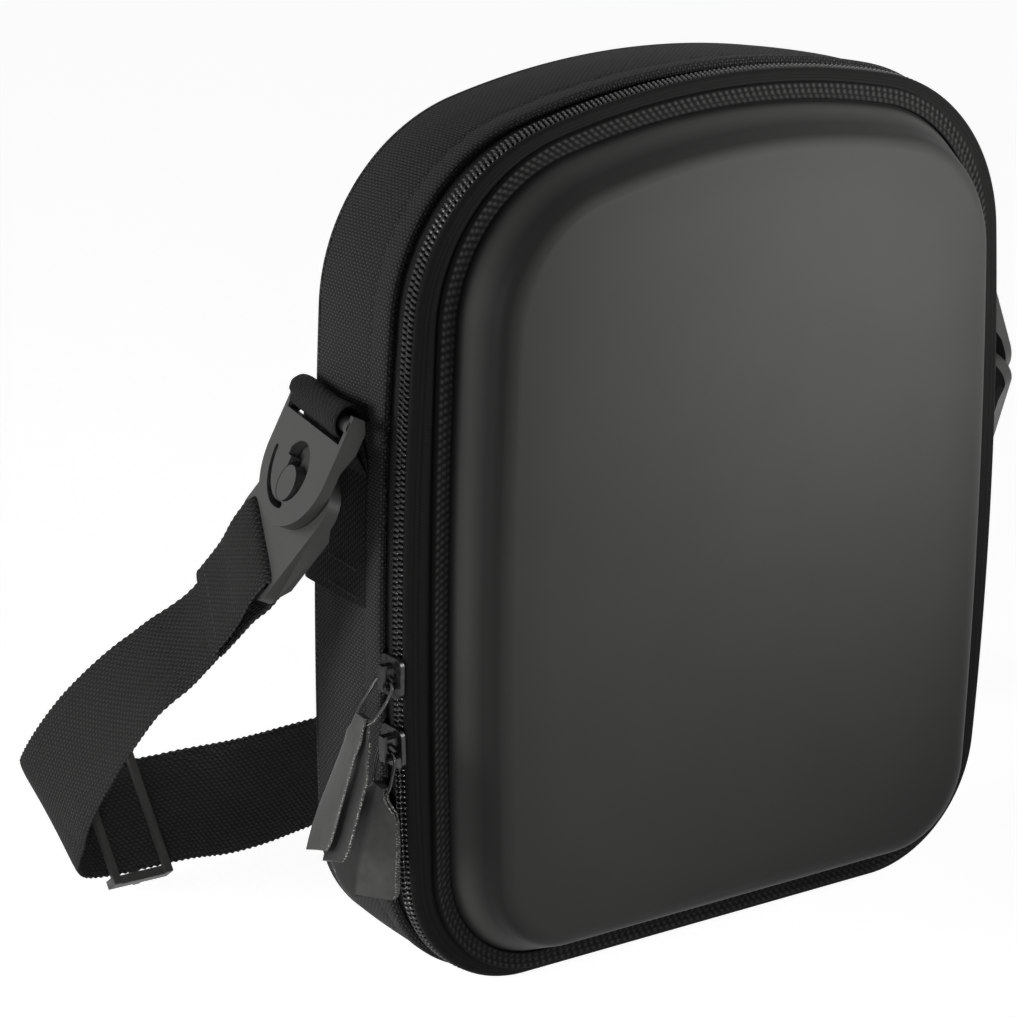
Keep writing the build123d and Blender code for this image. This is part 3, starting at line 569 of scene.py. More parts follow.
mouth_y, seam_y, skin_end, cloth, fold_radius, around = -17.99, -10.4, 16.85, 1.2, 1.26, 560
outer = [(y, 0.0) for y in np.linspace(skin_end, mouth_y, 46)[:-1]]
fold = [(mouth_y - fold_radius * sin(t), fold_radius * (1 - cos(t))) for t in np.linspace(0, pi, 9)]
inner = [(y, 2 * fold_radius) for y in np.linspace(mouth_y, -10.3, 6)[1:]]
side_rows = outer + fold + inner + [(-10.25, 1.32), (-9.0, cloth), (skin_end, cloth)]
depth = np.array([row[0] for row in side_rows])[:, None]
outside = (np.arange(len(side_rows)) < len(outer) + 3)[:, None]
share = np.arange(around) / around
standing = np.clip(round_case([(0.0, 0.0)], share)[0][..., 2] / 12.0, 0, 1) ** 2
between = np.sin(pi * np.clip((depth - seam_y) / 27.2, 0, 1))
swell = 0.32 * ridge(depth, -16.2, 3.4) - 0.26 * ridge(depth, seam_y, 0.9) - 0.12 * ridge(depth, 16.9, 1.0)
swell = swell + 0.16 * ripples(share, (61, 74, 92, 103), 3) * ridge(depth, seam_y, 3.2)
swell = swell + (0.45 + 0.30 * ripples(share, (5, 8, 13, 21), 5)) * between
side_panel = full_ring("side_panel", side_rows, around, nylon.material, swell * outside * standing)
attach(side_panel, "case")
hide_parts("gusset", "mouth_hem")

stitch_share = (np.arange(232) + 0.5) / 232
at, out = round_case([(seam_y, 0.28)], stitch_share)
ahead = unit(np.roll(at[0], -1, 0) - np.roll(at[0], 1, 0))
keep = at[0][:, 2] > 4.0
topstitch = stitches("mouth_topstitch", at[0][keep], ahead[keep], out[0][keep], 2.5, 0.22, thread.material)
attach(topstitch, "case")

# ---- back panel ----------------------------------------------------------------------------------
# Flat nylon panel sewn to the side panel's back edge, over a stiff board and a foam pad that cushions it.
# It is of the same coarse cloth, but read flat instead of round the case.
back_nylon = Finish("back_nylon", rough=0.62, specular=0.03)
a, _, b = back_nylon.place("Object")
tone, relief = ballistic(back_nylon, a, b)
back_nylon.dress(tone, relief, 0.30)


def slab(name, rows, count, finish, bulge=None):
    """Closed shape whose first and last rows shrink to a point in the middle; bulge(rows grid) moves it."""
    grid, _ = round_case(rows, np.arange(count) / count)
    if bulge is not None:
        grid[..., 1] += bulge(grid)
    return skin(name, grid, cloth_map(rows, np.arange(count + 1) / count, False), finish)


def face_rows(y, inset, rim, sizes):
    """Rows of a flat face, which shrinks to the middle or grows from it."""
    return [(y, inset, rim, size) for size in sizes]


edge_radius = 1.7
rounded = [
    (body_back + edge_radius * (sin(t) - 1), edge_radius * (1 - cos(t))) for t in np.linspace(0, pi / 2, 6)
]
back_rows = face_rows(16.87, 0.4, 0.0, np.linspace(0, 1, 5)) + [(17.0, 0.05)] + rounded
back_rows += face_rows(body_back, edge_radius, 0.0, np.linspace(1, 0, 26)[1:])


def cushioned(grid):
    """The back swells a little over its pad and is drawn in along its topstitched border."""
    x, z = grid[..., 0], grid[..., 2]
    off = np.minimum(1, np.hypot(x / 90, (z - 118) / 118))
    return np.where(grid[..., 1] > 19.2, 0.8 * (1 - off**2) - 0.35 * ridge(off, 0.93, 0.012), 0.0)


back_panel = slab("back_face", back_rows, 360, back_nylon.material, cushioned)
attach(back_panel, "case")
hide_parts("back_panel")

# ---- inner layers of the body --------------------------------------------------------------------
# Foam round the sides and behind, a stiff board in the back, and a brushed lining over all of it, which
# is glued to the foam and turned under at the mouth.
foam = Finish("foam", rough=0.9, specular=0.1)
x, y, z = foam.place("Object")
cells = foam.noise(foam.point(x, y, z), 1.6, 4.0, 0.6)
foam.dress(foam.mix(cells, shade("2a2a2a"), shade("4a4a4a")), cells, 0.3)

board = Finish("stiff_board", rough=0.7, specular=0.2)
x, y, z = board.place("Object")
fibres = board.noise(board.point(x * 0.3, y, z), 1.2, 4.0)
board.dress(board.mix(fibres, shade("1d1c1a"), shade("35332f")), fibres, 0.1)

brushed = Finish("brushed_lining", rough=0.85, specular=0.15, sheen=0.08)
a, b, c = brushed.place("Object")
nap = brushed.noise(brushed.point(a, b, c), 0.9, 5.0, 0.7)
knit = (a + c).wave() * 0.15 + (a * 1.6 - c * 1.6).wave() * 0.15
brushed.dress(brushed.mix((nap + knit).atmost(1.0), shade("101112"), shade("2e2f31")), nap + knit, 0.25)

ring_back = 10.89
pad_rows = [(-18.05, 4.4), (-18.3, 4.9), (-18.05, 5.5), (-17.4, 6.1), (ring_back - 0.2, 6.1),
            (ring_back, 5.9), (ring_back, 1.5), (-9.9, 1.45), (-10.0, 3.5), (-17.4, 3.75)]
side_pad = full_ring("side_padding", pad_rows, 300, foam.material)
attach(side_pad, "case")
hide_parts("gusset_padding")

pad_rows = face_rows(11.02, 1.5, 0.0, np.linspace(0, 1, 4)) + [(11.4, 1.34), (14.6, 1.34)]
pad_rows += face_rows(15.0, 1.5, 0.0, np.linspace(1, 0, 4))
back_pad = slab("back_padding_pad", pad_rows, 240, foam.material)
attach(back_pad, "case")
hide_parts("back_padding")

cad["back_board"].data.materials.clear()
cad["back_board"].data.materials.append(board.material)

way_out = np.linspace(9.0, -17.6, 12)
lining_rows = (
    face_rows(10.88, 6.5, 0.0, np.linspace(0, 1, 6)) + [(10.5, 6.3)] + [(y, 6.28) for y in way_out]
    + [(-18.05, 6.4), (-18.05, 6.9)] + [(y, 7.0) for y in way_out[::-1]] + [(9.9, 7.3)]
    + face_rows(10.18, 7.9, 0.0, np.linspace(1, 0, 12))
)
body_lining = slab("pocket_lining", lining_rows, 300, brushed.material)
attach(body_lining, "case")
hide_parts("body_lining")

# ---- zip tapes -----------------------------------------------------------------------------------
# Woven polyester tapes that carry the two halves of the chain: one is sewn inside the body's mouth, the
# other under the lid's band.
tape_cloth = Finish("zip_tape", rough=0.75, specular=0.18)
a, b, _ = tape_cloth.place()
ribs = twill(tape_cloth, b, a, 0.55, 1.3, 0.5)
tape_cloth.dress(tape_cloth.mix(ribs, shade("101111"), shade("2b2c2d")), ribs, 0.15)

tape_rows = {
    "body": [(-25.3, 2.7), (-25.3, 3.4), (-12.4, 3.44), (-12.4, 2.64), (-19.0, 2.64)],
    "lid": [(-28.15, 2.66), (-28.15, 3.4), (-25.6, 3.4), (-25.6, 2.68)],
}
for half, body in (("body", "case"), ("lid", "lid")):
    tape = open_ring(half + "_tape", tape_rows[half], tape_cloth.material)
    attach(tape, body)
    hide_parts(half + "_zip_tape")

# ---- zip coils -----------------------------------------------------------------------------------
# Each half of the chain is one nylon wire wound into a flat spiral of about 1.5 mm pitch and sewn to its
# tape; the turns of one half sit between the turns of the other.
coil_nylon = Finish("coil_nylon", rough=0.3, specular=0.45)
x, y, z = coil_nylon.place("Object")
scuffs = coil_nylon.noise(coil_nylon.point(x, y, z), 0.8, 3.0)
coil_nylon.dress(coil_nylon.mix(scuffs, shade("0e0f0f"), shade("202121")), scuffs, 0.05, scuffs * 0.2 + 0.18)


def tube(name, line, radius, sides, finish, guide, closed=False):
    """Round wire along a line: a circle at each point, square to the way ahead."""
    ahead = unit(np.roll(line, -1, 0) - np.roll(line, 1, 0) if closed else np.gradient(line, axis=0))
    first = unit(np.cross(ahead, guide))
    second = np.cross(ahead, first)
    turn = np.linspace(0, 2 * pi, sides + 1)[:-1, None]
    grid = line[:, None] + radius * (first[:, None] * np.cos(turn) + second[:, None] * np.sin(turn))
    run = np.r_[0, np.cumsum(np.linalg.norm(np.diff(line, axis=0), axis=1))]
    run = np.r_[run, run[-1] + 1] if closed else run
    round_wire = np.arange(sides + 1) / sides * 2 * pi
    pattern = stacked(run[:, None], round_wire)
    return skin(name, grid, pattern, finish, round_rows=closed, ends=not closed)


pitch, half_wide, half_deep, wire_radius, coil_inset = 1.52, 1.0, 0.78, 0.46, 1.9
coil_start, coil_length = 60.0, 650.0
turns = int(coil_length / pitch)
way = np.linspace(0, 1, turns * 14 + 1)
on_tape, out = round_case([(-25.45, coil_inset)], (coil_start + way * coil_length) / way_round)
for half, body, middle_y, phase in (("body", "case", -24.40, 0.0), ("lid", "lid", -26.55, pi)):
    # round the case at even pitch, while across and in depth it goes round an ellipse
    angle = 2 * pi * way * turns + phase
    line = on_tape[0] + out[0] * (half_deep * np.sin(angle))[:, None]
    line[:, 1] = middle_y + half_wide * np.cos(angle)
    wire = tube(half + "_coil", line, wire_radius, 7, coil_nylon.material, out[0])
    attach(wire, body)
    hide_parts(half + "_zip_coil")

# ---- lid band ------------------------------------------------------------------------------------
# Smooth nylon band between the zip and the moulded panel: a rolled edge, then a forward-facing flange
# that the panel is sewn to, with a lip inside.
band_cloth = Finish("band_cloth", rough=0.62, specular=0.04)
a, b, _ = band_cloth.place()
ribs = twill(band_cloth, a, b, 0.30, 0.62, 0.5)
shades = band_cloth.noise(band_cloth.point(a * 0.04, b * 0.2, 0.0), 1.0, 2.0)
tone = band_cloth.mix(ribs * 0.8 + 0.1, shade("141413"), shade("2c2c2b"))
band_cloth.dress(band_cloth.mix(shades * 0.4, tone, shade("222221")), ribs, 0.03)

front_y, edge_roll = -30.1, 1.5
rolled = [(front_y + edge_roll * (1 - sin(t)), 0.95 + edge_roll * (1 - cos(t)))
          for t in np.linspace(0, pi / 2, 7)]
flange = [(front_y - 0.55 * sin(pi * w), 2.45 - 0.45 * w, w, 1.0) for w in np.linspace(0, 1, 10)[1:]]
band_rows = [(-28.35, 1.0)] + rolled + flange + [(-28.7, 2.0, 1.0, 1.0), (-28.35, 3.0)]
lid_band = full_ring("lid_band_cloth", band_rows, 520, band_cloth.material)
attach(lid_band, "lid")
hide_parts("lid_band")
lip_rows = [(-28.4, 3.56), (-28.4, 4.76), (-25.8, 4.7), (-25.55, 4.4), (-25.55, 3.9), (-25.8, 3.6)]
lip = open_ring("lid_band_lip", lip_rows, band_cloth.material, 2.0)
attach(lip, "lid")

# ---- binding -------------------------------------------------------------------------------------
# Ribbed woven tape sewn over the edge of the panel and the band: two rows of slanted ribs with a
# thin selvedge along both edges.
binding_cloth = Finish("binding_cloth", rough=0.7, specular=0.07)
a, b, _ = binding_cloth.place()
fibres = binding_cloth.noise(binding_cloth.point(a, b, 0.0), 2.4, 3.0, 0.7)
row = b / 1.55
bead = (a / 2.1 + row.whole() * 0.5 + row.part() * 0.35).hump() ** 2.5 * row.hump() ** 0.8
# painted shade: both edges of the tape are darkened to black where it meets the band and the panel, and their
# relief is flattened
edge_shade = ((b - 2.3).size() / 2.3).atmost(1.0) ** 7.0
weave = bead * (1.1 - b * 0.14) * (1.0 - edge_shade)
bright = (weave * 0.9 + fibres * 0.25).atmost(1.0) * (1.0 - edge_shade)
tone = binding_cloth.mix(bright, shade("0b0b0b"), shade("4d4d4b"))
binding_cloth.dress(tone, weave + fibres * 0.3, 0.30)

around, ribs_round, tape_wide, rim_round = 2080, 357, 4.6, 750.0
share = np.arange(around) / around
across = np.linspace(0, 1, 17)[:, None]
first_row = across < 0.5
slant = np.where(first_row, 1.0, -1.0) * (across - 0.5) * 1.6
rib = np.clip(np.cos(2 * pi * (ribs_round * share + slant + np.where(first_row, 0.0, 0.5))), -0.35, 1)
row_shape = np.abs(np.sin(2 * pi * np.clip(across, 0.02, 0.98))) ** 0.6
selvedge = ridge(across, 0.06, 0.05) + ridge(across, 0.94, 0.05)
grid, _ = round_case([(-31.9, 0.1 + tape_wide * w, 1.0, 1.0) for w in across[:, 0]], share)
grid[..., 1] = -31.75 - row_shape * (0.34 + 0.08 * rib) - selvedge * 0.20
rear_rows = [(-31.5, 4.75), (-31.45, 4.0), (-31.4, 1.0), (-30.25, 0.95), (-30.2, 0.0), (-31.2, -0.12)]
rear, _ = round_case([(*row, 1.0, 1.0) for row in rear_rows], share)
grid = np.concatenate([grid, rear])
run = np.r_[across[:, 0] * tape_wide, 5.0, 6.0, 9.0, 10.0, 11.0, 12.0, 13.0]
pattern = stacked(np.arange(around + 1) / around * rim_round, run[:, None])
binding = skin("binding_tape", grid, pattern, binding_cloth.material, round_rows=True, sharp=80)
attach(binding, "lid")
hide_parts("lid_binding")

# ---- moulded panel -------------------------------------------------------------------------------
# Heat-formed foam shell with a matt skin: a sewn flange, a drafted wall, a rounded shoulder and a
# gently domed front.
panel_skin = Finish("panel_skin", rough=0.52, specular=0.09)
x, y, z = panel_skin.place("Object")
where = panel_skin.point(x, y, z)
grain = panel_skin.noise(where, 2.5, 3.0, 0.6)
smears = panel_skin.noise(where, 0.035, 3.0, 0.5)
# painted shade: the skin is darkened in a band over the upper wall and the shoulder, and at the foot of the
# wall next to the binding
shoulder = ((y * -1.0 - 36.0) / 5.0).atleast(0.0).atmost(1.0) * ((y + 46.9) / 2.2).atleast(0.0).atmost(1.0)
tone = panel_skin.mix(smears, shade("494948"), shade("50504e"))
foot = ((y + 34.2) / 2.0).atleast(0.0).atmost(1.0)
tone = panel_skin.mix((shoulder * 0.78).atleast(foot * 0.85), tone, shade("1e1e1d"))
panel_skin.dress(tone, grain, 0.018, smears * 0.12 + 0.46)


def crown(foot, y_foot, rise, rounding, steps):
    """Section of a drafted block on the rim: a wall that leans in by 24 degrees, then an arc on to the
    front face."""
    draft = radians(24.0)
    middle = foot + np.tan(draft) * (rise - rounding * (1 - sin(draft))) + rounding * cos(draft)
    turns = np.linspace(draft, pi / 2, steps)
    return [(y_foot - rise + rounding * (1 - sin(t)), middle - rounding * cos(t), 1.0, 1.0) for t in turns]


flange_y, flange_back, wall_foot, inner_foot = -31.31, -30.22, 4.9, 7.1
outer = crown(wall_foot, flange_y, 15.2, 6.5, 16)
wall_y, wall_inset = np.linspace(flange_y, outer[0][0], 8)[:-1], np.linspace(wall_foot, outer[0][1], 8)[:-1]
wall = [(y, inset, 1.0, 1.0) for y, inset in zip(wall_y, wall_inset)]
front = face_rows(*outer[-1][:3], np.linspace(1, 0, 40)[1:])
inner = crown(inner_foot, flange_back, 13.7, 4.6, 8)
inside = face_rows(*inner[-1][:3], np.linspace(0, 1, 14)[:-1])
flange = [(flange_back, inner_foot), (flange_back, 1.1), (-31.3, 1.1), (flange_y, 4.4)]
panel_rows = inside + inner[::-1] + [(*row, 1.0, 1.0) for row in flange] + wall + outer + front


def domed(grid):
    """The front swells as (1 - a^2)(1 - b^2), in shares a, b of its half width and half height."""
    a = np.clip(np.abs(grid[..., 0]) / 76.0, 0, 1)
    b = np.clip(np.abs(grid[..., 2] - 120.5) / 106.0, 0, 1)
    return np.where(grid[..., 1] < -46.3, -1.6 * (1 - a**2) * (1 - b**2), 0.0)


panel = slab("moulded_panel", panel_rows, 480, panel_skin.material, domed)
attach(panel, "lid")
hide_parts("lid_panel")

outer = crown(7.25, -30.22, 13.58, 4.6, 8)
inner = crown(7.95, -30.2, 12.88, 4.0, 8)
lining_rows = (
    face_rows(*outer[-1][:3], np.linspace(0, 1, 12)[:-1]) + outer[::-1]
    + [(-30.25, 7.25, 1.0, 1.0), (-30.1, 7.6, 1.0, 1.0), (-30.25, 7.95, 1.0, 1.0)]
    + inner + face_rows(*inner[-1][:3], np.linspace(1, 0, 12)[1:])
)
lid_lining = slab("lid_lining_cloth", lining_rows, 300, brushed.material)
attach(lid_lining, "lid")
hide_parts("lid_lining")

# ---- hinge strip and zip ends --------------------------------------------------------------------
# The lid hangs on a strip of the band's cloth along the base, sewn into both halves; the zip ends on each
# side of it under a folded tab of tape.
strip_y, strip_z, strip_wide = np.linspace(-12.4, -28.2, 26), 3.14, 100.0
line = np.stack([0 * strip_y, strip_y, strip_z + 0 * strip_y], 1)
sideways = np.tile([1.0, 0, 0], (26, 1))
strip, _ = ribbon("hinge_cloth", line, sideways, strip_wide, 1.0, band_cloth.material, 0.5, 0.05)
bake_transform(strip)
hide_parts("hinge_strip")


def dressed_copy(name, node, finish, bevel, segments=2):
    """A copy of a solid's mesh with its points merged and its edges eased."""
    mesh = cad[node].data.copy()
    mesh.name = name
    clean(mesh, 1e-6, radians(1.0))
    mesh.materials.clear()
    mesh.materials.append(finish)
    mesh.set_sharp_from_angle(angle=radians(30))
    piece = linked(name, mesh)
    ease = piece.modifiers.new("ease", "BEVEL")
    ease.width, ease.segments, ease.harden_normals = bevel * mm, segments, True
    ease.limit_method, ease.angle_limit = "ANGLE", radians(35)
    bpy.context.view_layer.update()
    done = bpy.data.meshes.new_from_object(piece.evaluated_get(bpy.context.evaluated_depsgraph_get()))
    piece.modifiers.clear()
    piece.data = done
    done.name = name
    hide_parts(node)
    return piece


ends = dressed_copy("zip_end_cloth", "zip_end_tabs", tape_cloth.material, 0.5, 3)
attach(ends, "case")

# ---- side webbings -------------------------------------------------------------------------------
# A short strap of woven nylon is sewn to each side with two rows of thread; its upper end is folded round
# the clip's bar and tucked in behind.
web_cloth = Finish("side_webbing", rough=0.72, specular=0.1)
along, across, _ = web_cloth.place()
yarns = twill(web_cloth, along, across, 1.05, 1.7, 0.5)
fuzz = web_cloth.noise(web_cloth.point(along, across, 0.0), 2.2, 4.0, 0.7)
web_cloth.dress(web_cloth.mix((yarns * 0.8 + fuzz * 0.25).atmost(1.0), shade("0f0f0f"), shade("313130")),
                yarns + fuzz * 0.25, 0.42)


def side_of(y, z):
    """Half width of the body at depth y and height z, on the arc of its bowed side."""
    half, bow, top = body_at(y)
    shoulder = top - crest_radius + np.sqrt(crest_radius**2 - half**2)
    arc = (shoulder**2 / 4 + bow**2) / (2 * bow)
    return half + bow - arc + np.sqrt(arc**2 - (z - shoulder / 2) ** 2)


web_mid, web_width, web_depth, web_roll, web_shift = 3.4, 31.4, 1.5, 3.657, 0.7
up_side = [(-(side_of(web_mid, z) + 1.0), z) for z in (108.4, 118.0, 130.0, 142.0, 150.0, 156.0)]
round_bar = [
    tuple(bar_at[[0, 2]] + web_roll * np.array([-cos(t), sin(t)]))
    for t in np.radians([150, 119, 88, 57, 26, -5, -36, -66])
]
back_in = [(-103.4, 155.4), (-102.3, 151.0), (-100.9, 146.0)]
web_x, web_z = through(up_side + round_bar + back_in).T
lift = np.clip((web_z - 146) / 10, 0, 1)[:, None]
web_points = np.stack([web_x, web_mid - web_shift * lift[:, 0], web_z], 1)
web_wide = unit(np.array([0.035, 1, 0]) * (1 - lift) + np.array([0.2254, 1, 0]) * lift)
for side, flip in flips.items():
    band, _ = ribbon("side_webbing_cloth_" + side, web_points * flip, web_wide * flip, web_width, web_depth,
                     web_cloth.material, 0.4, 0.1, 1.9)
    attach(band, "case")
    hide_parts("side_webbing_" + side)
    y, z = np.array([(y, z) for z in (111.0, 118.5) for y in np.arange(-8.2, 16.6, 2.7)]).T
    at = np.stack([-(side_of(y, z) + 1.8), y, z], 1) * flip
    ahead, out = (np.tile(way, (len(at), 1)) for way in ([0, 1.0, 0], [-flip[0], 0, 0]))
    seam = stitches("webbing_stitches_" + side, at, ahead, out, 2.2, 0.25, thread.material)
    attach(seam, "case")

# ---- clips, hooks and adjuster -------------------------------------------------------------------
# Moulded nylon, satin grey.  The plate turns on the bar in the webbing's fold, the hook plate swivels
# on the plate's stud, and the three-bar adjuster sits on the strap near the ground.
satin = Finish("satin_nylon", rough=0.42, specular=0.18)
x, y, z = satin.place("Object")
where = satin.point(x, y, z)
grain = satin.noise(where, 3.0, 3.0, 0.6)
haze = satin.noise(where, 0.12, 2.0)
bar_x, bar_y, bar_z = x.size() + bar_at[0], y - bar_at[1], z - bar_at[2]
off_bar, along_bar = bar_x * cos(yaw) + bar_y * sin(yaw), bar_x * sin(yaw) - bar_y * cos(yaw)
# painted shade: the bar within about 3 mm of its axis, inside the webbing's fold, is darkened almost to black
bar_shade = (off_bar * off_bar + bar_z * bar_z < 9.5) * ((along_bar - 2.4).size() < 17.8)
tone = satin.mix(haze, shade("444443"), shade("50504e"))
satin.dress(satin.mix(bar_shade * 0.85, tone, shade("0c0c0c")), grain, 0.02, haze * 0.15 + 0.36)


def eased_rim(hook, flip):
    """Slopes the ends of the rim behind the hook: its deepest points move along the rim, by up to 4 mm."""
    points = np.zeros(len(hook.data.vertices) * 3)
    hook.data.vertices.foreach_get("co", points)
    points = points.reshape(-1, 3) / mm * flip - stud
    deep, down = points @ inward, points @ hook_down
    slide = np.clip((deep - 5.6) / 1.8, 0, 1) * np.where(down < 0, 4.0, -4.0) * (np.abs(down - 8.0) > 10)
    points = (points + slide[:, None] * hook_down + stud) * flip * mm
    hook.data.vertices.foreach_set("co", points.ravel())
    hook.data.update()


for side, flip in flips.items():
    plate = dressed_copy("clip_" + side + "_plate", "clip_plate_" + side, satin.material, 0.35)
    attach(plate, "clip_" + side)
    hook = dressed_copy("hook_" + side + "_plate", "hook_plate_" + side, satin.material, 0.35)
    eased_rim(hook, flip)
    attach(hook, "hook_" + side)
adjuster = dressed_copy("adjuster_frame", "strap_adjuster", satin.material, 0.45)
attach(adjuster, "adjuster")

# ---- sliders and pulls ---------------------------------------------------------------------------
# Two die-cast sliders run on one chain; each carries a bent wire, and on the wire hangs a folded leather
# tab whose cut edges show pale chips.
gunmetal = Finish("gunmetal", rough=0.28, specular=0.5, metallic=0.85)
x, y, z = gunmetal.place("Object")
wear = gunmetal.noise(gunmetal.point(x, y, z), 0.9, 4.0, 0.6)
gunmetal.dress(gunmetal.mix(wear, shade("262727"), shade("585856")), wear, 0.04, wear * 0.25 + 0.12)

leather = Finish("pull_leather", rough=0.45, specular=0.25)
a, b, _ = leather.place()
where = leather.point(a, b, 0.0)
pores = leather.noise(where, 1.3, 5.0, 0.6)
creases = leather.noise(leather.point(a * 0.6, b, 0.0), 0.35, 3.0)
rim = b.size() > 8.3
chips = leather.noise(leather.point(a * 1.4, b, 0.0), 1.6, 2.0) > 0.56
tone = leather.mix(creases, shade("3d3d3c"), shade("5a5a58"))
# painted shade: the lower tab's back half and the whole rear leaf of the upper tab are darkened
painted_leaf_shade = ((b / 1.6).atleast(0.0).atmost(1.0) * (a > 80.0)).atleast(a > 180.0)
tone = leather.mix(painted_leaf_shade * 0.72, tone, shade("191918"))
tone = leather.mix(rim * chips, tone, shade("a6a69f"))
leather.dress(tone, pores + creases, 0.10, creases * 0.2 + 0.34)


def pull_axes(at, to, lean, tilt):
    """Origin and axes of a hanging pull: down along it, along its turning axis, and out."""
    ends = [np.array([-side_of(-body_back, h) + 0.75, -25.45, h]) for h in sorted((at, to))]
    rise = unit(ends[1] - ends[0])
    start = ends[0] if at < to else ends[1]
    out = np.cross(rise, [0, 1, 0])
    back = np.cross(out, rise)
    lean, tilt = radians(lean), radians(tilt)
    axis = back * cos(tilt) + rise * sin(tilt)
    hang = back * sin(tilt) - rise * cos(tilt)
    run = hang * cos(lean) + out * sin(lean)
    return start - 0.8 * rise + 2.75 * out, run, axis, np.cross(axis, run)


# reach down the pull (mm), then the tab's widths there, towards the back and towards the lid
tab_reach = (10.5, 12.0, 14.0, 16.5, 28.0, 38.0, 42.0, 44.5, 46.5)
tab_back = {
    "upper": (2.3, 2.6, 2.9, 4.4, 5.6, 7.2, 7.2, 6.6, 5.8),
    "lower": (2.3, 2.8, 4.6, 7.6, 10.0, 9.2, 6.8, 4.4, 1.2),
}
tab_front = {
    "upper": (2.3, 2.6, 2.9, 4.4, 5.6, 7.0, 7.4, 7.2, 6.4),
    "lower": (2.3, 2.6, 3.2, 6.2, 8.8, 10.2, 10.8, 10.9, 10.6),
}
wire_half_long, wire_half_wide, pull_wire = 6.25, 3.9, 0.48
lanes = np.sin(np.linspace(-pi / 2, pi / 2, 13))
lanes = np.r_[lanes, lanes[-2:0:-1]]
faces = np.r_[np.ones(13), -np.ones(11)]
leather_half = 0.62 * faces * np.sqrt(1.0001 - np.abs(lanes) ** 6)
# the slider's height, the height it slides to, the pull's lean and tilt; then the tab's twist, the bow of
# the wire, and how far the tab's end is slanted and lengthened
for level, settings, most, bow, skew, longer in (
    ("upper", (94.0, 144.0, 16.0, 8.0), 16.0, 3.6, 2.6, 3.0),
    ("lower", (74.5, 54.5, 6.0, 13.0), -32.0, 0.0, 2.2, -2.0),
):
    slider = dressed_copy("slider_" + level + "_body", "slider_" + level, gunmetal.material, 0.3, 3)
    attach(slider, "slider_" + level)
    pivot, run, axis, out = pull_axes(*settings)
    turn = np.linspace(0, 2 * pi, 97)[:-1]
    shape = np.stack([np.cos(turn), np.sin(turn)], 1)
    shape = np.sign(shape) * np.abs(shape) ** 0.55
    fall = 1 - shape[:, :1]
    line = pivot + wire_half_long * fall * run + wire_half_wide * shape[:, 1:] * axis
    line = line + out * bow * np.clip(fall / 2, 0, 1) ** 1.3
    wire = tube("pull_wire_" + level + "_ring", line, pull_wire, 10, gunmetal.material, out, closed=True)
    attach(wire, "pull_wire_" + level)
    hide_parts("pull_wire_" + level)
    reach = np.linspace(10.6, 46.4, 54)[:, None]
    back_half, front_half = (np.interp(reach, tab_reach, one[level]) for one in (tab_back, tab_front))
    late = np.clip((reach - 26) / 20, 0, 1) ** 2
    down = (reach + (skew * lanes + longer) * late)[..., None]
    twist = radians(most) * np.clip((reach - 11) / 9, 0, 1)[..., None]
    sideways, outward = axis * np.cos(twist) - out * np.sin(twist), out * np.cos(twist) + axis * np.sin(twist)
    for layer, face in (("front", 1.0), ("rear", -1.0)):
        splay = face * (0.66 + 0.12 * np.clip((reach - 18) / 28, 0, 1) ** 1.5)
        across = np.where(lanes > 0, back_half, front_half) * lanes
        curl = 0.55 * np.clip((reach - 16) / 30, 0, 1) * lanes**2
        if level == "upper" and layer == "rear":
            apart = np.clip((reach - 12) / 12, 0, 1)
            across, curl = across - 6.0 * apart, curl + 1.2 * apart
        grid = pivot + out * bow + down * run + across[..., None] * sideways
        grid = grid + (splay + leather_half - curl)[..., None] * outward
        # the leather reads which leaf it dresses, for its painted shade, from 100 or 200 added to its first
        # cloth coordinate
        leaf = reach + (100.0 if level == "lower" else 200.0 if layer == "rear" else 0.0)
        pattern = stacked(leaf, np.r_[lanes, lanes[0]] * 8.9)
        tab = skin("pull_tab_" + level + "_" + layer, grid, pattern, leather.material, ends=True)
        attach(tab, "pull_tab_" + level)
        if layer == "front":
            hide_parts("pull_tab_" + level)

# ---- floor and light -----------------------------------------------------------------------------
# A white floor that keeps the case's shadow, and a low even surround that looks white too.  A small lamp
# in front lights the panel from the right and a broad one from the left lights the side, with a narrow
# low one for the strap and a faint one above.


class Stage(Nodes):
    """The emptied node tree of the floor or the surround; seen is 1 for rays that look at it."""

    def __init__(self, holder, output):
        holder.use_nodes = True
        super().__init__(holder.node_tree)
        self.tree.nodes.clear()
        self.seen = self.ray("Camera").atleast(self.ray("Glossy")).atleast(self.ray("Transmission"))
        self.output = self.tree.nodes.new(output).inputs["Surface"]

    def ray(self, kind):
        return self.node("ShaderNodeLightPath", {}, {}, "Is " + kind + " Ray")


floor_look = bpy.data.materials.new("floor")
paint = Stage(floor_look, "ShaderNodeOutputMaterial")
bounce = paint.node("ShaderNodeBsdfDiffuse", {}, {"Color": (0.34, 0.34, 0.34, 1)})
shaded = paint.node("ShaderNodeBsdfDiffuse", {}, {"Color": (0.36, 0.36, 0.36, 1)})
glow = paint.node("ShaderNodeEmission", {}, {"Color": (1, 1, 1, 1), "Strength": 0.94})
white = paint.node("ShaderNodeAddShader", {}, [shaded, glow])
solid = paint.node("ShaderNodeMixShader", {}, [paint.seen, bounce, white])
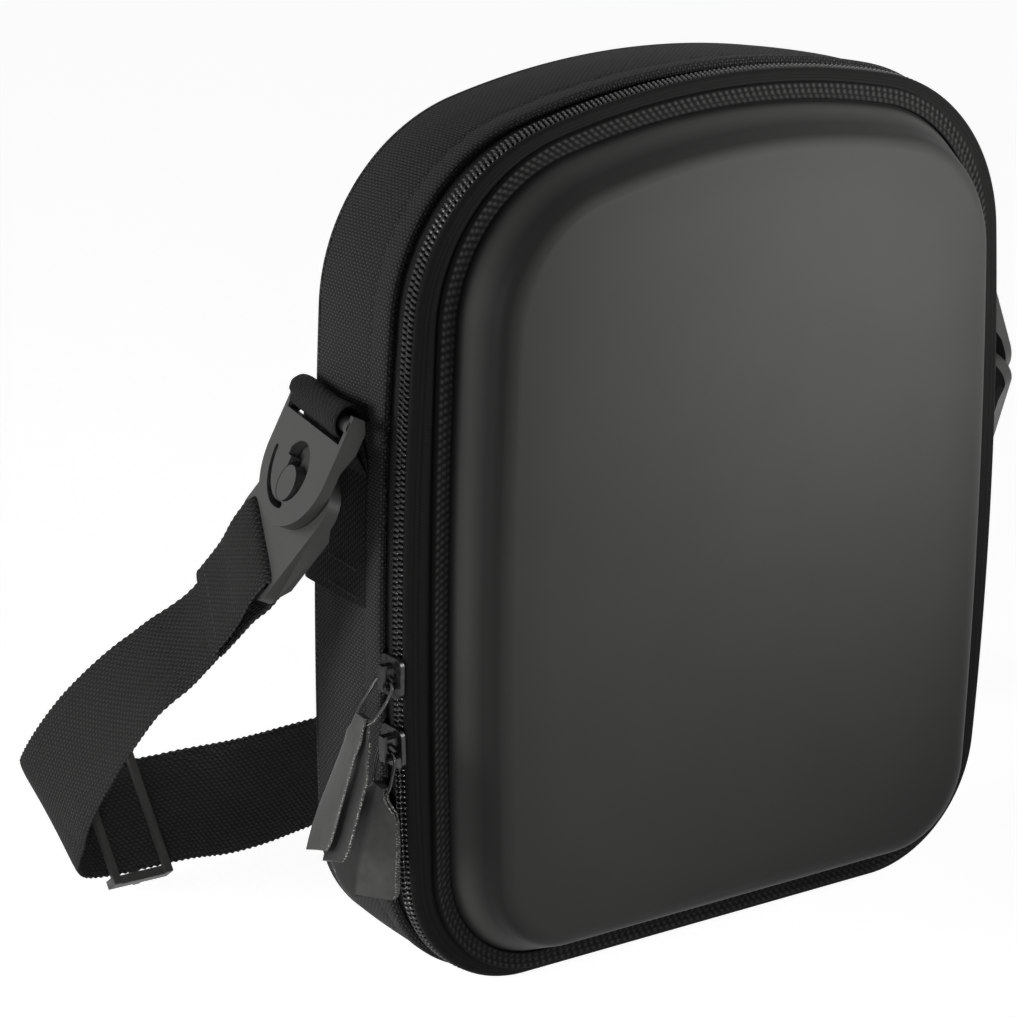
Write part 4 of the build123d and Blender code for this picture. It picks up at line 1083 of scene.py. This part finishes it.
# where the open lid hangs below the ground, the floor is clear to the camera and, in front, to the lamps
free = paint.node("ShaderNodeAmbientOcclusion", {"inside": True, "samples": 4}, {"Distance": 0.3}, "AO")
sunk = ((1 - free) * 25.0).atmost(1.0) * paint.ray("Camera")
spot = paint.node("ShaderNodeTexCoord", {}, {}, "Object")
ahead = (paint.node("ShaderNodeSeparateXYZ", {}, [spot], "Y") * -100.0 - 3.0).atmost(1.0).atleast(0.0)
clear = paint.node("ShaderNodeBsdfTransparent", {}, {})
open_share = sunk.atleast(ahead * paint.ray("Shadow"))
paint.feed(paint.output, paint.node("ShaderNodeMixShader", {}, [open_share, solid, clear]))

turn = np.linspace(0, 2 * pi, 65)[:-1]
radii = np.array([0.0, 400.0, 1200.0, 4000.0])[:, None]
ground = stacked(radii * np.cos(turn), radii * np.sin(turn), -0.05)
floor = skin("floor", ground, np.zeros((4, 65, 2)), floor_look)

world = bpy.data.worlds.new("surround")
bpy.context.scene.world = world
sky = Stage(world, "ShaderNodeOutputWorld")
colour = sky.mix(sky.seen, (0.055, 0.055, 0.055, 1), (1, 1, 1, 1))
sky.feed(sky.output, sky.node("ShaderNodeBackground", {}, {"Color": colour, "Strength": 1.0}))


def lamp(name, place, target, size, watts, spread):
    """Soft square lamp that faces a point; spread, in degrees, narrows its beam."""
    data = bpy.data.lights.new(name, "AREA")
    data.shape, data.size, data.energy, data.spread = "SQUARE", size, watts, radians(spread)
    holder = linked(name, data)
    way = Vector(target) - Vector(place)
    holder.matrix_world = Matrix.Translation(place) @ way.to_track_quat("-Z", "Y").to_matrix().to_4x4()
    holder.visible_camera = False


lamp("lamp_front", (0.12, -0.26, 0.235), (0.03, -0.05, 0.195), 0.16, 0.198, 80)
lamp("lamp_left", (-0.95, 0.22, 0.26), (-0.09, 0, 0.13), 0.35, 1.85, 120)
lamp("lamp_low", (-0.75, -0.75, 0.12), (-0.11, 0.09, 0.02), 0.10, 0.070, 24)
lamp("lamp_top", (-0.25, 0.35, 1.2), (0, 0, 0.2), 0.6, 0.05, 120)
bpy.context.scene.view_settings.view_transform = "Standard"
